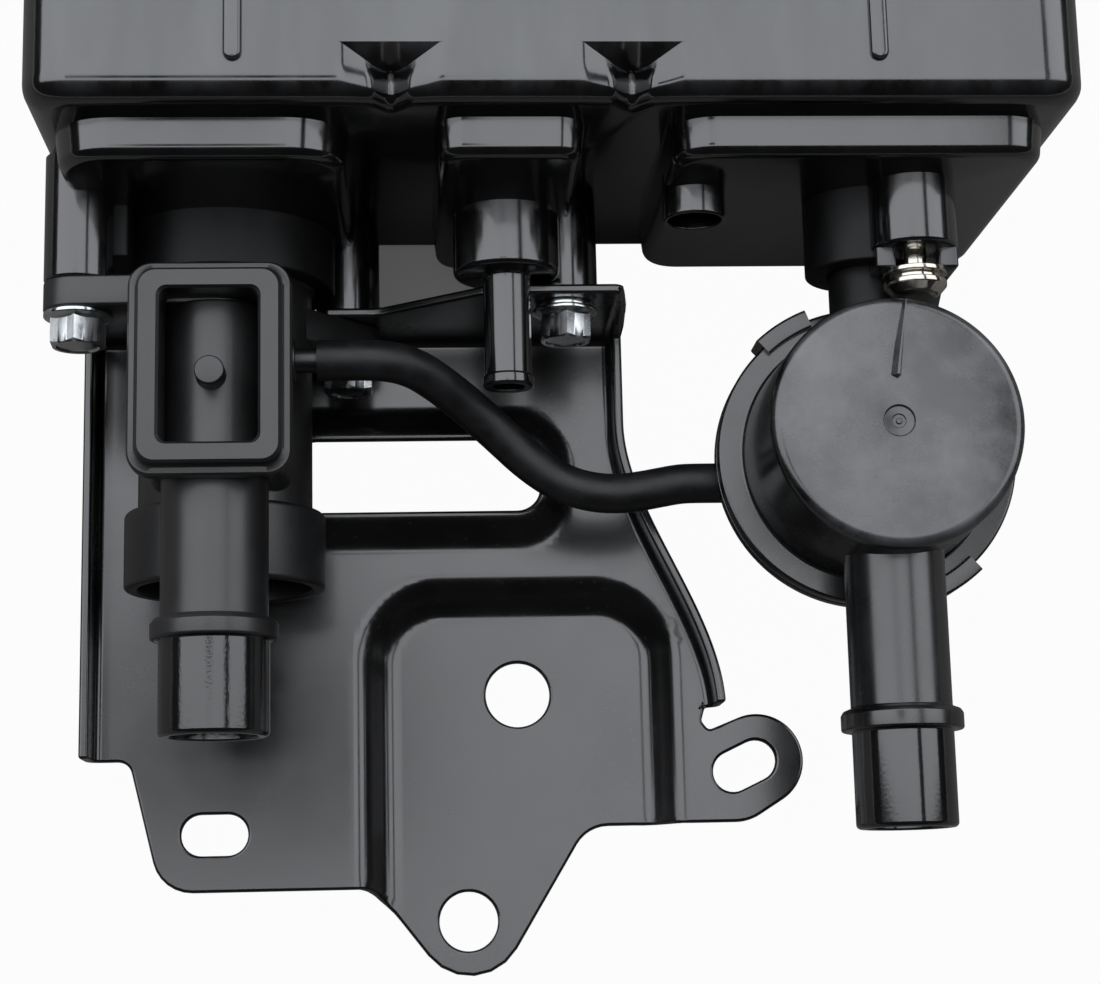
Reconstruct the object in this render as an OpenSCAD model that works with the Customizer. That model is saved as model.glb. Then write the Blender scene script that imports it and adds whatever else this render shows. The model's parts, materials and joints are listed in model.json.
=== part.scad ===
// Charcoal canister with vent valve, diaphragm valve, hose and mounting bracket.
// Frame: X across the body, Y along the body with the ports facing -Y, Z up from the back of the body.
// All pieces are drawn with Y = 0 at the port end of the body,
// and then moved so that the whole part is centred.

/* [Body] */
// Width of the body across its three chambers
body_w = 200; // [180:1:230]
// Thickness of the body from back to front
body_t = 96; // [90:1:110]
// Length of the moulded case without its rear cover
case_l = 178; // [150:1:240]
// Length of the welded rear cover
cover_l = 12; // [10:1:20]
// Wall of the case and cover
wall = 2.5; // [2:0.1:3]
// Thickness of the wall that carries the ports
end_wall = 3; // [2.5:0.1:4]
// Radius of the long edges of the body
edge_r = 6.5; // [5:0.5:8]
// Radius of the edge round the port end
end_r = 5; // [4:0.5:6]
// Place across the body of the wall between the left and middle chambers
divider_left_x = -31.5; // [-36:0.5:-28]
// Place across the body of the wall between the middle and right chambers
divider_right_x = 13.5; // [12:0.5:18]
// Depth of the valleys between the chambers at the port end
valley_d = 13; // [8:0.5:16]
// Half width of each valley at the front face
valley_half_w = 8.8; // [6:0.2:10]
// Length of each valley along the body
valley_l = 10.8; // [8:0.2:14]
// Height of the stiffening ribs on the front face
rib_h = 1.2; // [0.8:0.1:2]
// Width of the stiffening ribs
rib_w = 3.6; // [2:0.2:5]

/* [Ports] */
// How far the raised pads stand out of the port end
pad_h = 6; // [4:0.5:8]
// Outer diameter of the purge nipple on the middle chamber
nipple_d = 9.7; // [8:0.1:11]
// Bore of the purge nipple
nipple_bore_d = 6.5; // [5:0.1:7]
// Reach of the purge nipple from the port end
nipple_reach = 43.5; // [36:0.5:50]
// Outer diameter of the open stub on the right pad
stub_d = 12.7; // [11:0.1:14]
// Bore of the open stub
stub_bore_d = 10.7; // [9:0.1:10.8]
// Length of the open stub beyond its pad
stub_l = 7; // [5:0.5:12]

/* [Vent valve] */
// Distance of the vent valve's axis from the left side of the body
vent_inset = 33.4; // [32:0.2:38]
// Height of the vent valve's can above the back
vent_z = 32; // [30:0.5:34]
// Outer diameter of the can
can_d = 35.4; // [33:0.2:37]
// Reach of the can from the port end
can_reach = 70; // [66:0.5:74]
// Height of the air tube's axis above the back
tube_z = 57; // [56:0.5:60]
// Outer diameter of the air tube
tube_d = 20.8; // [19:0.1:22]
// Bore of the air tube
tube_bore_d = 16.8; // [14:0.1:17.5]
// Reach of the air tube from the port end
tube_reach = 113.5; // [105:0.5:125]
// Reach of the stop collar on the air tube
tube_collar_reach = 95; // [90:0.5:98]
// Height of the front of the open frame above the back
frame_z = 74; // [72:0.5:76]
// Travel of the vent valve's poppet
poppet_travel = 4; // [2:0.5:5]

/* [Diaphragm valve] */
// Distance of the diaphragm valve's axis from the right side of the body
round_inset = 36.2; // [34:0.2:40]
// Reach of the diaphragm valve's axis from the port end
round_reach = 57.8; // [56:0.2:62]
// Height of the cap's face above the back
round_face_z = 78; // [76:0.5:82]
// Height of the diaphragm's upper side above the back
round_seam_z = 43.5; // [42:0.5:45]
// Diameter of the cap's face
round_cap_d = 48.8; // [46:0.2:52]
// Diameter of the clamped flanges
round_flange_d = 61; // [59:0.2:64]
// Outer diameter of the outlet tube
outlet_d = 19.4; // [17:0.1:20.4]
// Bore of the outlet tube
outlet_bore_d = 15.4; // [12:0.1:16.4]
// Reach of the outlet tube from the port end
outlet_reach = 133.5; // [125:0.5:145]
// Travel of the diaphragm and its plate
diaphragm_travel = 3; // [1:0.5:4]

/* [Hose] */
// Outer diameter of the signal hose
hose_d = 8.2; // [7.6:0.1:8.6]
// Bore of the signal hose
hose_bore_d = 5.4; // [5.2:0.1:6]

/* [Bracket] */
// Thickness of the pressed sheet
sheet_t = 2; // [1.6:0.1:2.4]
// Depth of the pressed panel below the rest of the sheet
panel_d = 6; // [4:0.5:8]
// Height of the rims turned up along the sides, above the sheet
rim_h = 10; // [6:0.5:14]
// Inner radius of the bends
bend_r = 3; // [2:0.5:4]
// Diameter of the round hole in the pressed panel
panel_hole_d = 13.8; // [10:0.1:16]
// Diameter of the round hole in the lug
lug_hole_d = 12.4; // [10:0.1:14]
// Width of the two slots
slot_w = 8.6; // [7:0.1:10]
// Length of the two slots from end to end
slot_l = 14; // [12:0.1:16]
// Reach of the lug from the port end
lug_reach = 160; // [156:0.5:165]

/* [Fasteners] */
// Thread diameter of the flange bolts
bolt_d = 6; // [5:0.1:6]
// Width across the flats of the bolt heads
bolt_af = 10; // [8:0.1:10.5]
// Diameter of the bolts' flange
bolt_flange_d = 13.5; // [12:0.1:13.8]
// Diameter of the bosses that take the bolts
boss_d = 13.4; // [12:0.1:13.6]
// Diameter of the boss that takes the valve's screw
screw_boss_d = 17.4; // [16:0.1:18]
// Thread diameter of the valve's screw
screw_d = 5; // [4:0.1:5.5]

/* [Clearances] */
// Gap round pieces that drop into a space
drop_fit = 0.3; // [0.2:0.05:0.4]
// Gap round a spigot in its socket
spigot_fit = 0.4; // [0.3:0.05:0.5]
// Gap round a bolt or screw in its threaded insert
thread_fit = 0.1; // [0.05:0.01:0.15]
// Gap round the poppet's sliding stem
stem_fit = 0.08; // [0.05:0.01:0.1]
// Gap round a nipple in the hose
hose_fit = 0.2; // [0.1:0.05:0.3]
// Gap round a threaded insert pressed into its boss
press_fit = 0.02; // [0.01:0.01:0.05]
// Gap round pieces that pass each other
pass_fit = 0.6; // [0.5:0.1:1]

/* [Hidden] */
$fn = 64;

// Overlap of a cut beyond the face that it opens
cut = 1;

// Place of the port end so that the whole part is centred on the origin along Y
body_l = case_l + cover_l;
end_y = lug_reach - (lug_reach + body_l) / 2;

// Chambers, from the left: [lowest x, highest x]
inner_x = body_w / 2 - wall;
divider_half = wall / 2;
chambers = [[-inner_x, divider_left_x - divider_half],
  [divider_left_x + divider_half, divider_right_x - divider_half],
  [divider_right_x + divider_half, inner_x]];
inner_r = edge_r - wall;
divider_xs = [divider_left_x, divider_right_x];
valley_power = 1.3;

// Filling of each chamber, along Y from the port end
felt_t = 4;
plate_t = 3;
spring_l = 30;
plate_end = body_l - wall - spring_l;
rear_felt_y = plate_end - plate_t - felt_t;
divider_l = plate_end + 4;
bed_y = end_wall + felt_t;
retainer_wire = 1.2;
retainer_coil_r = 15;
coils = 5;

// Pads on the port end: [lowest x, highest x, corner radius]
pad_z = [8, body_t - 11];
pad_inset = 6;
pad_gap = 8;
pad_left = [pad_inset - body_w / 2, divider_left_x - pad_gap, 6];
pad_middle = [divider_left_x + pad_gap, divider_right_x - pad_gap, 10];
pad_right = [divider_right_x + pad_gap, body_w / 2 - pad_inset, 7];
pad_face = -pad_h;

// Ribs on the front face: [x, start]
rib_start = 7;
rib_xs = [-60.5, 59.7];

// Stub on the right pad and purge port on the middle pad, as [x, z]
stub_at = [28.3, 61.2];
purge_at = [-8.8, 48];
purge_root_r = 10.8;
purge_root_end = -20.5;
purge_bead_l = 2.4;
purge_bead_h = 0.3;

// Fasteners
bolt_hole_d = bolt_d + pass_fit;
insert_d = bolt_d + 3;
insert_l = 10;
bolt_l = 14;
boss_hole_l = insert_l + 8;
hex_h = 5.2;
bolt_flange_t = 1.6;
washer_t = 1.2;

// Vent valve seat on the case
ear_t = 6;
ear_y = -24.5;
ear_face = ear_y - ear_t;
ear_r = 6.8;
vent_x = vent_inset - body_w / 2;
vent_boss_left = [vent_x - 26.6, 58.5];
vent_boss_right = [vent_x + 24.8, 18.6];
vent_bosses = [vent_boss_left, vent_boss_right];
spigot_r = can_d / 2 + 0.8;
socket_bore_r = spigot_r + spigot_fit;
socket_r = socket_bore_r + 3.6;
socket_end = -19;
spigot_top = pad_face - 3;
can_bore_r = can_d / 2 - wall;
o_ring_d = 2.2;
vent_ring_y = -14;

// Inside of the vent valve, along Y
guide_y = -28;
guide_t = 3;
seat_y = -46;
seat_t = 2;
seat_hole_r = 8;
poppet_r = 11;
poppet_t = 2.5;
stem_r = 2.5;
guide_hole_r = stem_r + stem_fit;
crossing_y = -57;
guide_window_at = 9.5;
guide_window_r = 3.8;
vent_wire = 0.5;
vent_coil_r = 4.6;

// Vent valve's open frame round the tube
frame_top = -25.3;
frame_bottom = -63.8;
frame_half_w = 14;
frame_flange = 1.6;
frame_flange_z = frame_z - 3;
frame_flange_t = 3;
pocket_top = -29.6;
pocket_bottom = -59.5;
pocket_half_w = 9.35;
peg_y = -45.2;
peg_r = 2.85;
peg_top = frame_z - 2;
tube_r = tube_d / 2;
tube_collar_r = tube_r + 1.9;
tube_collar_l = 4;
tube_end_r = tube_r + 0.25;

// Skirt under the can
skirt_r = can_d / 2 + 2.7;
skirt_lap = 4;
skirt_l = 17;
skirt_bore_r = can_d / 2 + drop_fit;
web_t = 2;
web_hole_at = 7;
web_hole_r = 2;
foam_t = 5;

// Hose nipples
nipple_r = hose_bore_d / 2 - hose_fit;
nipple_hole_r = 1.2;
vent_nipple_y = -38.6;
vent_nipple_z = 52;
vent_nipple_end = vent_x + 28.6;
round_x = body_w / 2 - round_inset;
round_nipple_y = -60.9;
round_nipple_z = 34.5;
round_nipple_end = round_x - 33.8;
hose_lap = 9;

// Diaphragm valve
round_y = -round_reach;
cap_r = round_cap_d / 2;
cap_base_r = cap_r + 1;
cap_wall = 2.2;
cap_edge_r = 2.5;
flange_r = round_flange_d / 2;
flange_t = 3;
diaphragm_t = 1;
housing_z = round_seam_z - diaphragm_t;
housing_r = 26;
housing_bottom = 21;
plate_r = 12;
plate_top = round_seam_z + 2.5;
seat_r = 9;
seat_bore_r = 7;
plate_stem_r = 3.8;
cup_r = 14;
cup_t = 2.5;
outlet_z = 62;
outlet_x = round_x + 0.9;
outlet_r = outlet_d / 2;
outlet_collar_reach = 115;
outlet_collar_l = 4;
outlet_collar_h = 2;
neck_z = 54;
neck_r = 7.8;
neck_bore_r = 5.2;
neck_top = pad_face - 3;
neck_socket_r = neck_r + spigot_fit + 4.2;
neck_socket_end = -22.5;
clip_angles = [122, 302];
clip_sweep = 21;
dimple_r = 3;
neck_ring_y = -15;
face_rib_w = 1.4;
face_rib_h = 0.8;
clip_top = round_seam_z + flange_t + 0.1;
round_wire = 0.7;
round_coil_r = 9;

// Screw of the diaphragm valve
screw_x = round_x + 7.2;
screw_z = 65.7;
screw_boss_end = -21;
yoke_t = 4;
yoke_end = screw_boss_end - yoke_t;
screw_head_r = 6.2;
screw_head_h = 3.2;
flat_washer_r = 6.3;
flat_washer_t = 1;
spring_washer_t = 1.3;
screw_room = 6;
screw_insert_l = 9;
screw_insert_r = screw_d / 2 + 1.5;
yoke_half_w = 8;
web_half_w = 11;
web_bottom = neck_z - 4;
web_top = screw_z - flat_washer_r - pass_fit;
web_foot_y = round_y + cap_r - web_half_w / 2;
yoke_slot_r = screw_d / 2 + 0.7;

// Bracket, in the plane of its sheet
sheet_z = panel_d + sheet_t;
rim_reach = 31.2;
rim_x = vent_x - rim_reach;
upright_y = -21.5;
upright_face = upright_y - sheet_t;
upright_left = vent_x + spigot_r + pass_fit;
tab_right = vent_x - spigot_r - pass_fit;
edge_x = 17;
edge_flare = 20;
flare_start = 44;
flare_l = 62;
left_rim_end = 114;
right_rim_end = 105;
rim_step = 3;
window = [[vent_x + 12.6, -61.8], [-0.9, -46.2]];
window_r = 5;
lip_h = 4;
lip_w = 1.5;
lip_slope = 5.2;
lip_shift = sheet_t * norm([lip_slope, lip_h]) / lip_h;
panel_left = -39.6;
panel_right = 27.5;
panel_top = -76.9;
panel_slope = 5.6;
panel_r = 13;
slot_left = [vent_x - 4, -129.6];
slot_tab = [41.7, -117.2];
slot_tab_angle = 25;
tab_r = 10.6;
panel_hole = [-6.2, -100.6];
lug_r = 11.5;
lug = [-17.5, -lug_reach + lug_r];
bracket_boss = [3.6, 38];
upright_low = 30;
upright_high = 47;
upright_slope = [-35, -12];
upright_r = 4;
bend_room = bend_r + sheet_t;
side_shift = sheet_t * norm([panel_slope, panel_d]) / panel_d;
slice = 0.01;
notch_x = 33.2;
notch_w = 4.8;
notch_d = 3.6;
notch_r = 1.6;
tab_foot = -129;
foot_y = -141.5;
foot_in = 11.2;
foot_out = 18;
foot_r = 6;
lug_right = [lug[0] + 25.7, tab_foot, 8];
lug_corner = [lug[0] + 1.5, lug[1] - 20, lug_r];
lug_left = [lug[0] - 19.6, foot_y, foot_r];

// Route of the hose from the vent valve's nipple to the diaphragm valve's nipple
hose_route = [[vent_nipple_end - hose_lap, vent_nipple_y, vent_nipple_z],
  [vent_nipple_end - hose_lap / 2, vent_nipple_y, vent_nipple_z],
  [vent_nipple_end + 1, vent_nipple_y, vent_nipple_z], [-33.6, -38.7, 51.5], [-30.3, -39, 50.1],
  [-27.2, -39.7, 48], [-24.1, -41, 45.4], [-21.1, -42.6, 42.8], [-18.1, -44.5, 40.5],
  [-15, -46.8, 38.5], [-11.9, -49.3, 36.9], [-8.8, -52, 35.8], [-5.8, -54.7, 35.1],
  [-2.7, -57.2, 34.7], [0.4, -59.3, 34.5], [3.5, -60.9, 34.5], [6.7, -62, 34.5], [10.6, -62.7, 34.5],
  [14.8, -62.8, 34.5], [19, -62.3, 34.5], [23, -61.6, 34.5], [26, -61.1, 34.5],
  [round_nipple_end - 1, round_nipple_y, round_nipple_z],
  [round_nipple_end + hose_lap - 3, round_nipple_y, round_nipple_z]];

// Points of a rectangle with rounded corners
function round_rect(x0, x1, y0, y1, r, n = 6) = [for (c = [[x1 - r, y1 - r, 0], [x0 + r, y1 - r, 90],
  [x0 + r, y0 + r, 180], [x1 - r, y0 + r, 270]]) for (i = [0:n])
  [c[0] + r * cos(c[2] + 90 * i / n), c[1] + r * sin(c[2] + 90 * i / n)]];

function unit(v) = v / norm(v);

// Arc that rounds the corner p of a path by the radius p[2]
function corner_arc(a, p, b, n = 6) =
  let (u = unit([a[0] - p[0], a[1] - p[1]]), v = unit([b[0] - p[0], b[1] - p[1]]),
    half = acos(u * v) / 2, m = unit(u + v), c = [p[0], p[1]] + m * p[2] / sin(half),
    from = [p[0], p[1]] + u * p[2] / tan(half) - c, to = [p[0], p[1]] + v * p[2] / tan(half) - c,
    a0 = atan2(from[1], from[0]), turn = atan2(to[1], to[0]) - a0,
    t = turn > 180 ? turn - 360 : (turn < -180 ? turn + 360 : turn))
  [for (i = [0:n]) c + p[2] * [cos(a0 + t * i / n), sin(a0 + t * i / n)]];

// Closed path through [x, y, corner radius] points
function round_path(pts) = [for (i = [0:len(pts) - 1])
  for (q = pts[i][2] == 0 ? [[pts[i][0], pts[i][1]]]
    : corner_arc(pts[(i + len(pts) - 1) % len(pts)], pts[i], pts[(i + 1) % len(pts)])) q];

function smooth(u) = let (c = max(0, min(1, u))) c * c * (3 - 2 * c);

// Right edge of the bracket at a reach from the port end
function edge_at(reach) = edge_x + edge_flare * smooth((reach - flare_start) / flare_l);

// Points of a helix about the Y axis, from y0 to y1
function helix(y0, y1, r, turns, n = 14) = [for (i = [0:turns * n])
  [r * cos(360 * i / n), y0 + (y1 - y0) * i / (turns * n), r * sin(360 * i / n)]];

// Tube along a list of points, with a bore where bore_r is above zero
module sweep_tube(pts, up, r, bore_r = 0, sides = 10) {
  n = len(pts);
  tangents = [for (i = [0:n - 1]) unit(pts[min(i + 1, n - 1)] - pts[max(i - 1, 0)])];
  rads = bore_r > 0 ? [r, bore_r] : [r];
  rings = [for (q = rads) for (i = [0:n - 1])
    let (s = unit(cross(up, tangents[i])), w = cross(tangents[i], s))
    for (k = [0:sides - 1]) pts[i] + q * (cos(360 * k / sides) * s + sin(360 * k / sides) * w)];
  inner = n * sides;
  last = (n - 1) * sides;
  outer_faces = [for (i = [0:n - 2]) for (k = [0:sides - 1]) let (k2 = (k + 1) % sides)
    [i * sides + k, (i + 1) * sides + k, (i + 1) * sides + k2, i * sides + k2]];
  bore_faces = bore_r > 0 ? [for (f = outer_faces) [for (j = [3:-1:0]) f[j] + inner]] : [];
  end_faces = bore_r > 0 ? [for (k = [0:sides - 1]) let (k2 = (k + 1) % sides) for (f = [
    [k, k2, inner + k2, inner + k], [last + k2, last + k, inner + last + k, inner + last + k2]]) f]
    : [[for (k = [0:sides - 1]) k], [for (k = [sides - 1:-1:0]) last + k]];
  polyhedron(rings, concat(outer_faces, bore_faces, end_faces), convexity = 8);
}

// Everything below is drawn from the port end
module placed() translate([0, end_y, 0]) children();

// Cylinder along -Y from y0 to y1
module rod_y(p, y0, y1, r) translate([p[0], y0, p[1]]) rotate([90, 0, 0]) cylinder(h = y0 - y1, r = r);

// Outline in X and Z, carried along -Y from y0 to y1
module slab_y(pts, y0, y1) translate([0, y0, 0]) rotate([90, 0, 0]) linear_extrude(y0 - y1) polygon(pts);

// Block of the body from y0 to y1, with its end rounded at y0 or at y1;
// the outlines run on past the other end
module body_shell(y0, y1, past_y0, past_y1) intersection() {
  slab_y(round_rect(-body_w / 2, body_w / 2, 0, body_t, edge_r), y1, y0);
  translate([0, 0, -cut]) linear_extrude(body_t + 2 * cut)
    polygon(round_rect(-body_w / 2, body_w / 2, y0 - past_y0, y1 + past_y1, end_r));
  translate([body_w / 2 + cut, 0, 0]) rotate([0, -90, 0]) linear_extrude(body_w + 2 * cut)
    polygon(round_rect(0, body_t, y0 - past_y0, y1 + past_y1, end_r));
}

// Valley between two chambers, grown by a margin
module valley(x, grow = 0) {
  w = valley_half_w + grow;
  d = valley_d + grow;
  side = [for (i = [0:8]) [w * (1 - i / 8), -d * (1 - pow(1 - i / 8, valley_power))]];
  other = [for (i = [7:-1:0]) [-side[i][0], side[i][1]]];
  translate([x, 0, body_t]) slab_y(concat([[w, cut]], side, other, [[-w, cut]]), valley_l + grow, -cut);
}

// Space of one chamber, held in by a gap on every side
module chamber(c, y0, y1, gap = 0) difference() {
  slab_y(round_rect(c[0] + gap, c[1] - gap, wall + gap, body_t - wall - gap, inner_r - gap), y1, y0);
  for (x = divider_xs) valley(x, wall + gap);
}

module pad(p) slab_y(round_rect(p[0], p[1], pad_z[0], pad_z[1], p[2]), cut, pad_face);

// Case: one moulding with three chambers, pads, ports, sockets and bosses
module case() color([0.08, 0.08, 0.085]) placed() difference() {
  union() {
    difference() {
      body_shell(0, case_l, 0, 2 * end_r);
      for (x = divider_xs) valley(x);
    }
    for (x = rib_xs) case_rib(x);
    for (p = [pad_left, pad_middle, pad_right]) pad(p);
    rod_y([vent_x, vent_z], cut, socket_end, socket_r);
    rod_y(vent_boss_left, cut, ear_y, boss_d / 2);
    for (p = [vent_boss_right, bracket_boss]) rod_y(p, cut, upright_y, boss_d / 2);
    purge_port();
    rod_y(stub_at, cut, pad_face - stub_l, stub_d / 2);
    rod_y([screw_x, screw_z], cut, screw_boss_end, screw_boss_d / 2);
    rod_y([round_x, neck_z], cut, neck_socket_end, neck_socket_r);
  }
  for (c = chambers) chamber(c, end_wall, case_l + cut);
  slab_y(round_rect(-inner_x, inner_x, wall, body_t - wall, inner_r), case_l + cut, divider_l);
  rod_y([vent_x, vent_z], spigot_top + cut, socket_end - cut, socket_bore_r);
  rod_y([vent_x, vent_z], end_wall + cut, spigot_top, can_bore_r);
  rod_y(purge_at, end_wall + cut, -nipple_reach - cut, nipple_bore_d / 2);
  rod_y(stub_at, end_wall + cut, pad_face - stub_l - cut, stub_bore_d / 2);
  rod_y([round_x, neck_z], neck_top + cut, neck_socket_end - cut, neck_r + spigot_fit);
  rod_y([round_x, neck_z], end_wall + cut, neck_top, neck_bore_r);
  rod_y(vent_boss_left, ear_y + boss_hole_l, ear_y - cut, insert_d / 2);
  for (p = [vent_boss_right, bracket_boss])
    rod_y(p, upright_y + boss_hole_l, upright_y - cut, insert_d / 2);
  rod_y([screw_x, screw_z], screw_boss_end + screw_insert_l + screw_room, neck_socket_end - cut, screw_insert_r);
}

// Stiffening rib on the front face with a round end
module case_rib(x) translate([x, 0, body_t - cut]) linear_extrude(rib_h + cut) union() {
  translate([-rib_w / 2, rib_start + rib_w / 2]) square([rib_w, case_l - rib_start - rib_w / 2]);
  translate([0, rib_start + rib_w / 2]) circle(rib_w / 2);
}

// Stepped purge port: wide root, nipple and end bead
module purge_port() {
  rod_y(purge_at, cut, purge_root_end, purge_root_r);
  rod_y(purge_at, cut, -nipple_reach, nipple_d / 2);
  rod_y(purge_at, -nipple_reach + purge_bead_l, -nipple_reach, nipple_d / 2 + purge_bead_h);
}

// Rear cover: shallow cap welded to the case
module rear_cover() color([0.08, 0.08, 0.085]) placed() difference() {
  body_shell(case_l, body_l, 2 * end_r, 0);
  slab_y(round_rect(-inner_x, inner_x, wall, body_t - wall, inner_r), body_l - wall, case_l - cut);
}

// Beds of carbon, felt filters and perforated plates of one chamber
module carbon_bed(c) color([0.1, 0.1, 0.1]) placed() chamber(c, bed_y, rear_felt_y, drop_fit);
module port_filter(c) color([0.8, 0.8, 0.76]) placed() chamber(c, end_wall, bed_y, drop_fit);
module rear_filter(c) color([0.8, 0.8, 0.76]) placed()
  chamber(c, rear_felt_y, rear_felt_y + felt_t, drop_fit);
module retainer_plate(c) color([0.15, 0.15, 0.15]) placed() difference() {
  chamber(c, rear_felt_y + felt_t, plate_end, drop_fit);
  pitch = 14;
  hole_r = 2.5;
  columns = floor((c[1] - c[0]) / 2 / pitch);
  rows = floor((body_t - 2 * wall) / 2 / pitch);
  for (i = [-columns:columns]) for (j = [-rows:rows]) if (abs(i * pitch) < (c[1] - c[0]) / 2 - 5)
    rod_y([(c[0] + c[1]) / 2 + i * pitch, body_t / 2 + j * pitch], plate_end + cut, rear_felt_y, hole_r);
}

// Coil spring between a retainer plate and the rear cover
module retainer_spring(c) color([0.6, 0.6, 0.62]) placed() translate([(c[0] + c[1]) / 2, 0, body_t / 2])
  sweep_tube(helix(plate_end + retainer_wire, body_l - wall - retainer_wire, retainer_coil_r, coils),
    [0, 1, 0], retainer_wire);

// Vent valve body: moulded can with ears, air tube, open frame, peg and hose nipple
module vent_valve_body() color([0.13, 0.13, 0.135]) placed() difference() {
  union() {
    rod_y([vent_x, vent_z], spigot_top, ear_y, spigot_r);
    rod_y([vent_x, vent_z], ear_y, -can_reach, can_d / 2);
    vent_ears();
    vent_frame();
    rod_y([vent_x, tube_z], frame_top - wall / 2, -tube_reach, tube_r);
    rod_y([vent_x, tube_z], -tube_collar_reach + tube_collar_l, -tube_collar_reach, tube_collar_r);
    rod_y([vent_x, tube_z], -tube_collar_reach, -tube_reach, tube_end_r);
    translate([vent_x, peg_y, tube_z]) cylinder(h = peg_top - tube_z, r = peg_r);
    translate([vent_x + frame_half_w - wall, vent_nipple_y, vent_nipple_z]) rotate([0, 90, 0])
      cylinder(h = vent_nipple_end - vent_x - frame_half_w + wall, r = nipple_r);
  }
  vent_cavity();
  rod_y([vent_x, tube_z], frame_top - 2 * wall, -tube_reach - cut, tube_bore_d / 2);
  translate([vent_x, crossing_y, vent_z]) cylinder(h = tube_z - vent_z, r = 5);
  translate([vent_x, vent_nipple_y, vent_nipple_z]) rotate([0, 90, 0])
    cylinder(h = vent_nipple_end - vent_x + cut, r = nipple_hole_r);
  o_ring_groove([vent_x, vent_z], vent_ring_y, spigot_r);
  for (p = vent_bosses) rod_y(p, upright_face + cut, ear_face - cut, bolt_hole_d / 2);
}

// Bore of the can with the valve seat and the poppet's guide left standing
module vent_cavity() difference() {
  rod_y([vent_x, vent_z], spigot_top + cut, -can_reach - cut, can_bore_r);
  difference() {
    rod_y([vent_x, vent_z], seat_y, seat_y - seat_t, can_bore_r + cut);
    rod_y([vent_x, vent_z], seat_y + cut, seat_y - seat_t - cut, seat_hole_r);
  }
  difference() {
    rod_y([vent_x, vent_z], guide_y, guide_y - guide_t, can_bore_r + cut);
    rod_y([vent_x, vent_z], guide_y + cut, guide_y - guide_t - cut, guide_hole_r);
    for (a = [30, 150, 270]) rod_y([vent_x + guide_window_at * cos(a), vent_z + guide_window_at * sin(a)],
      guide_y + cut, guide_y - guide_t - cut, guide_window_r);
  }
}

// Ears: the left one sits on its boss, the right one on the bracket's upright flange
module vent_ears() {
  ear(vent_boss_left, [vent_x, tube_z], tube_r - 1, ear_y);
  ear(vent_boss_right, [vent_x, vent_z], can_bore_r + 1, upright_face);
}

module ear(p, root, root_r, y0) translate([0, y0, 0]) rotate([90, 0, 0])
  linear_extrude(y0 - ear_face) hull() {
  translate(p) circle(ear_r, $fn = 32);
  translate(root) circle(root_r, $fn = 48);
}

// Open frame on the front of the tube: walls, flange and raised lip round the pocket
module vent_frame() difference() {
  union() {
    frame_block(0, tube_z - 8, frame_z, 2);
    frame_block(frame_flange, frame_flange_z - frame_flange_t, frame_flange_z, 3);
  }
  translate([vent_x - pocket_half_w, pocket_bottom, tube_z]) linear_extrude(frame_z)
    polygon(round_rect(0, 2 * pocket_half_w, 0, pocket_top - pocket_bottom, 1.5));
}

module frame_block(grow, z0, z1, r) translate([0, 0, z0]) linear_extrude(z1 - z0)
  polygon(round_rect(vent_x - frame_half_w - grow, vent_x + frame_half_w + grow,
    frame_bottom - grow, frame_top + grow, r));

// Groove for a sealing ring on a spigot
module o_ring_groove(p, y, r) difference() {
  rod_y(p, y + o_ring_d / 2 + 0.2, y - o_ring_d / 2 - 0.2, r + cut);
  rod_y(p, y + o_ring_d, y - o_ring_d, r - o_ring_d + spigot_fit);
}

// Sealing ring in its groove, between the groove's floor and the socket
module o_ring(p, y, r) translate([p[0], y, p[1]]) rotate([90, 0, 0]) rotate_extrude()
  translate([r + spigot_fit - o_ring_d / 2 - 0.05, 0]) circle(o_ring_d / 2 - 0.1);

// Skirt snapped on the end of the can, cut back round the tube
module vent_cap() color([0.1, 0.1, 0.105]) placed() difference() {
  rod_y([vent_x, vent_z], -can_reach + skirt_lap, -can_reach + skirt_lap - skirt_l, skirt_r);
  rod_y([vent_x, vent_z], -can_reach + skirt_lap + cut, -can_reach, skirt_bore_r);
  rod_y([vent_x, vent_z], -can_reach - web_t, -can_reach - skirt_l, skirt_bore_r);
  for (a = [0:60:300]) rod_y([vent_x + web_hole_at * cos(a), vent_z - web_hole_r + web_hole_at * sin(a)],
    -can_reach + cut, -can_reach - web_t - cut, web_hole_r);
  tube_room();
}

// Room for the air tube beside the skirt
module tube_room() rod_y([vent_x, tube_z], -can_reach + 2 * skirt_lap, -can_reach - 2 * skirt_l,
  tube_r + drop_fit);

// Foam dust filter inside the skirt
module vent_foam() color([0.2, 0.2, 0.19]) placed() difference() {
  rod_y([vent_x, vent_z], -can_reach - web_t, -can_reach - web_t - foam_t, skirt_bore_r - drop_fit);
  tube_room();
}

// Poppet that closes the seat, with its sliding stem
module vent_poppet() color([0.75, 0.73, 0.66]) placed() {
  rod_y([vent_x, vent_z], seat_y + poppet_t, seat_y, poppet_r);
  rod_y([vent_x, vent_z], guide_y - guide_t + 2, seat_y, stem_r);
}

module vent_spring() color([0.7, 0.7, 0.72]) placed() translate([vent_x, 0, vent_z])
  sweep_tube(helix(seat_y + poppet_t + vent_wire + 0.1, guide_y - guide_t - vent_wire - 0.1,
      vent_coil_r, coils),
    [0, 1, 0], vent_wire, sides = 8);

module vent_o_ring() color([0.05, 0.05, 0.05]) placed() o_ring([vent_x, vent_z], vent_ring_y, spigot_r);

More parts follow.
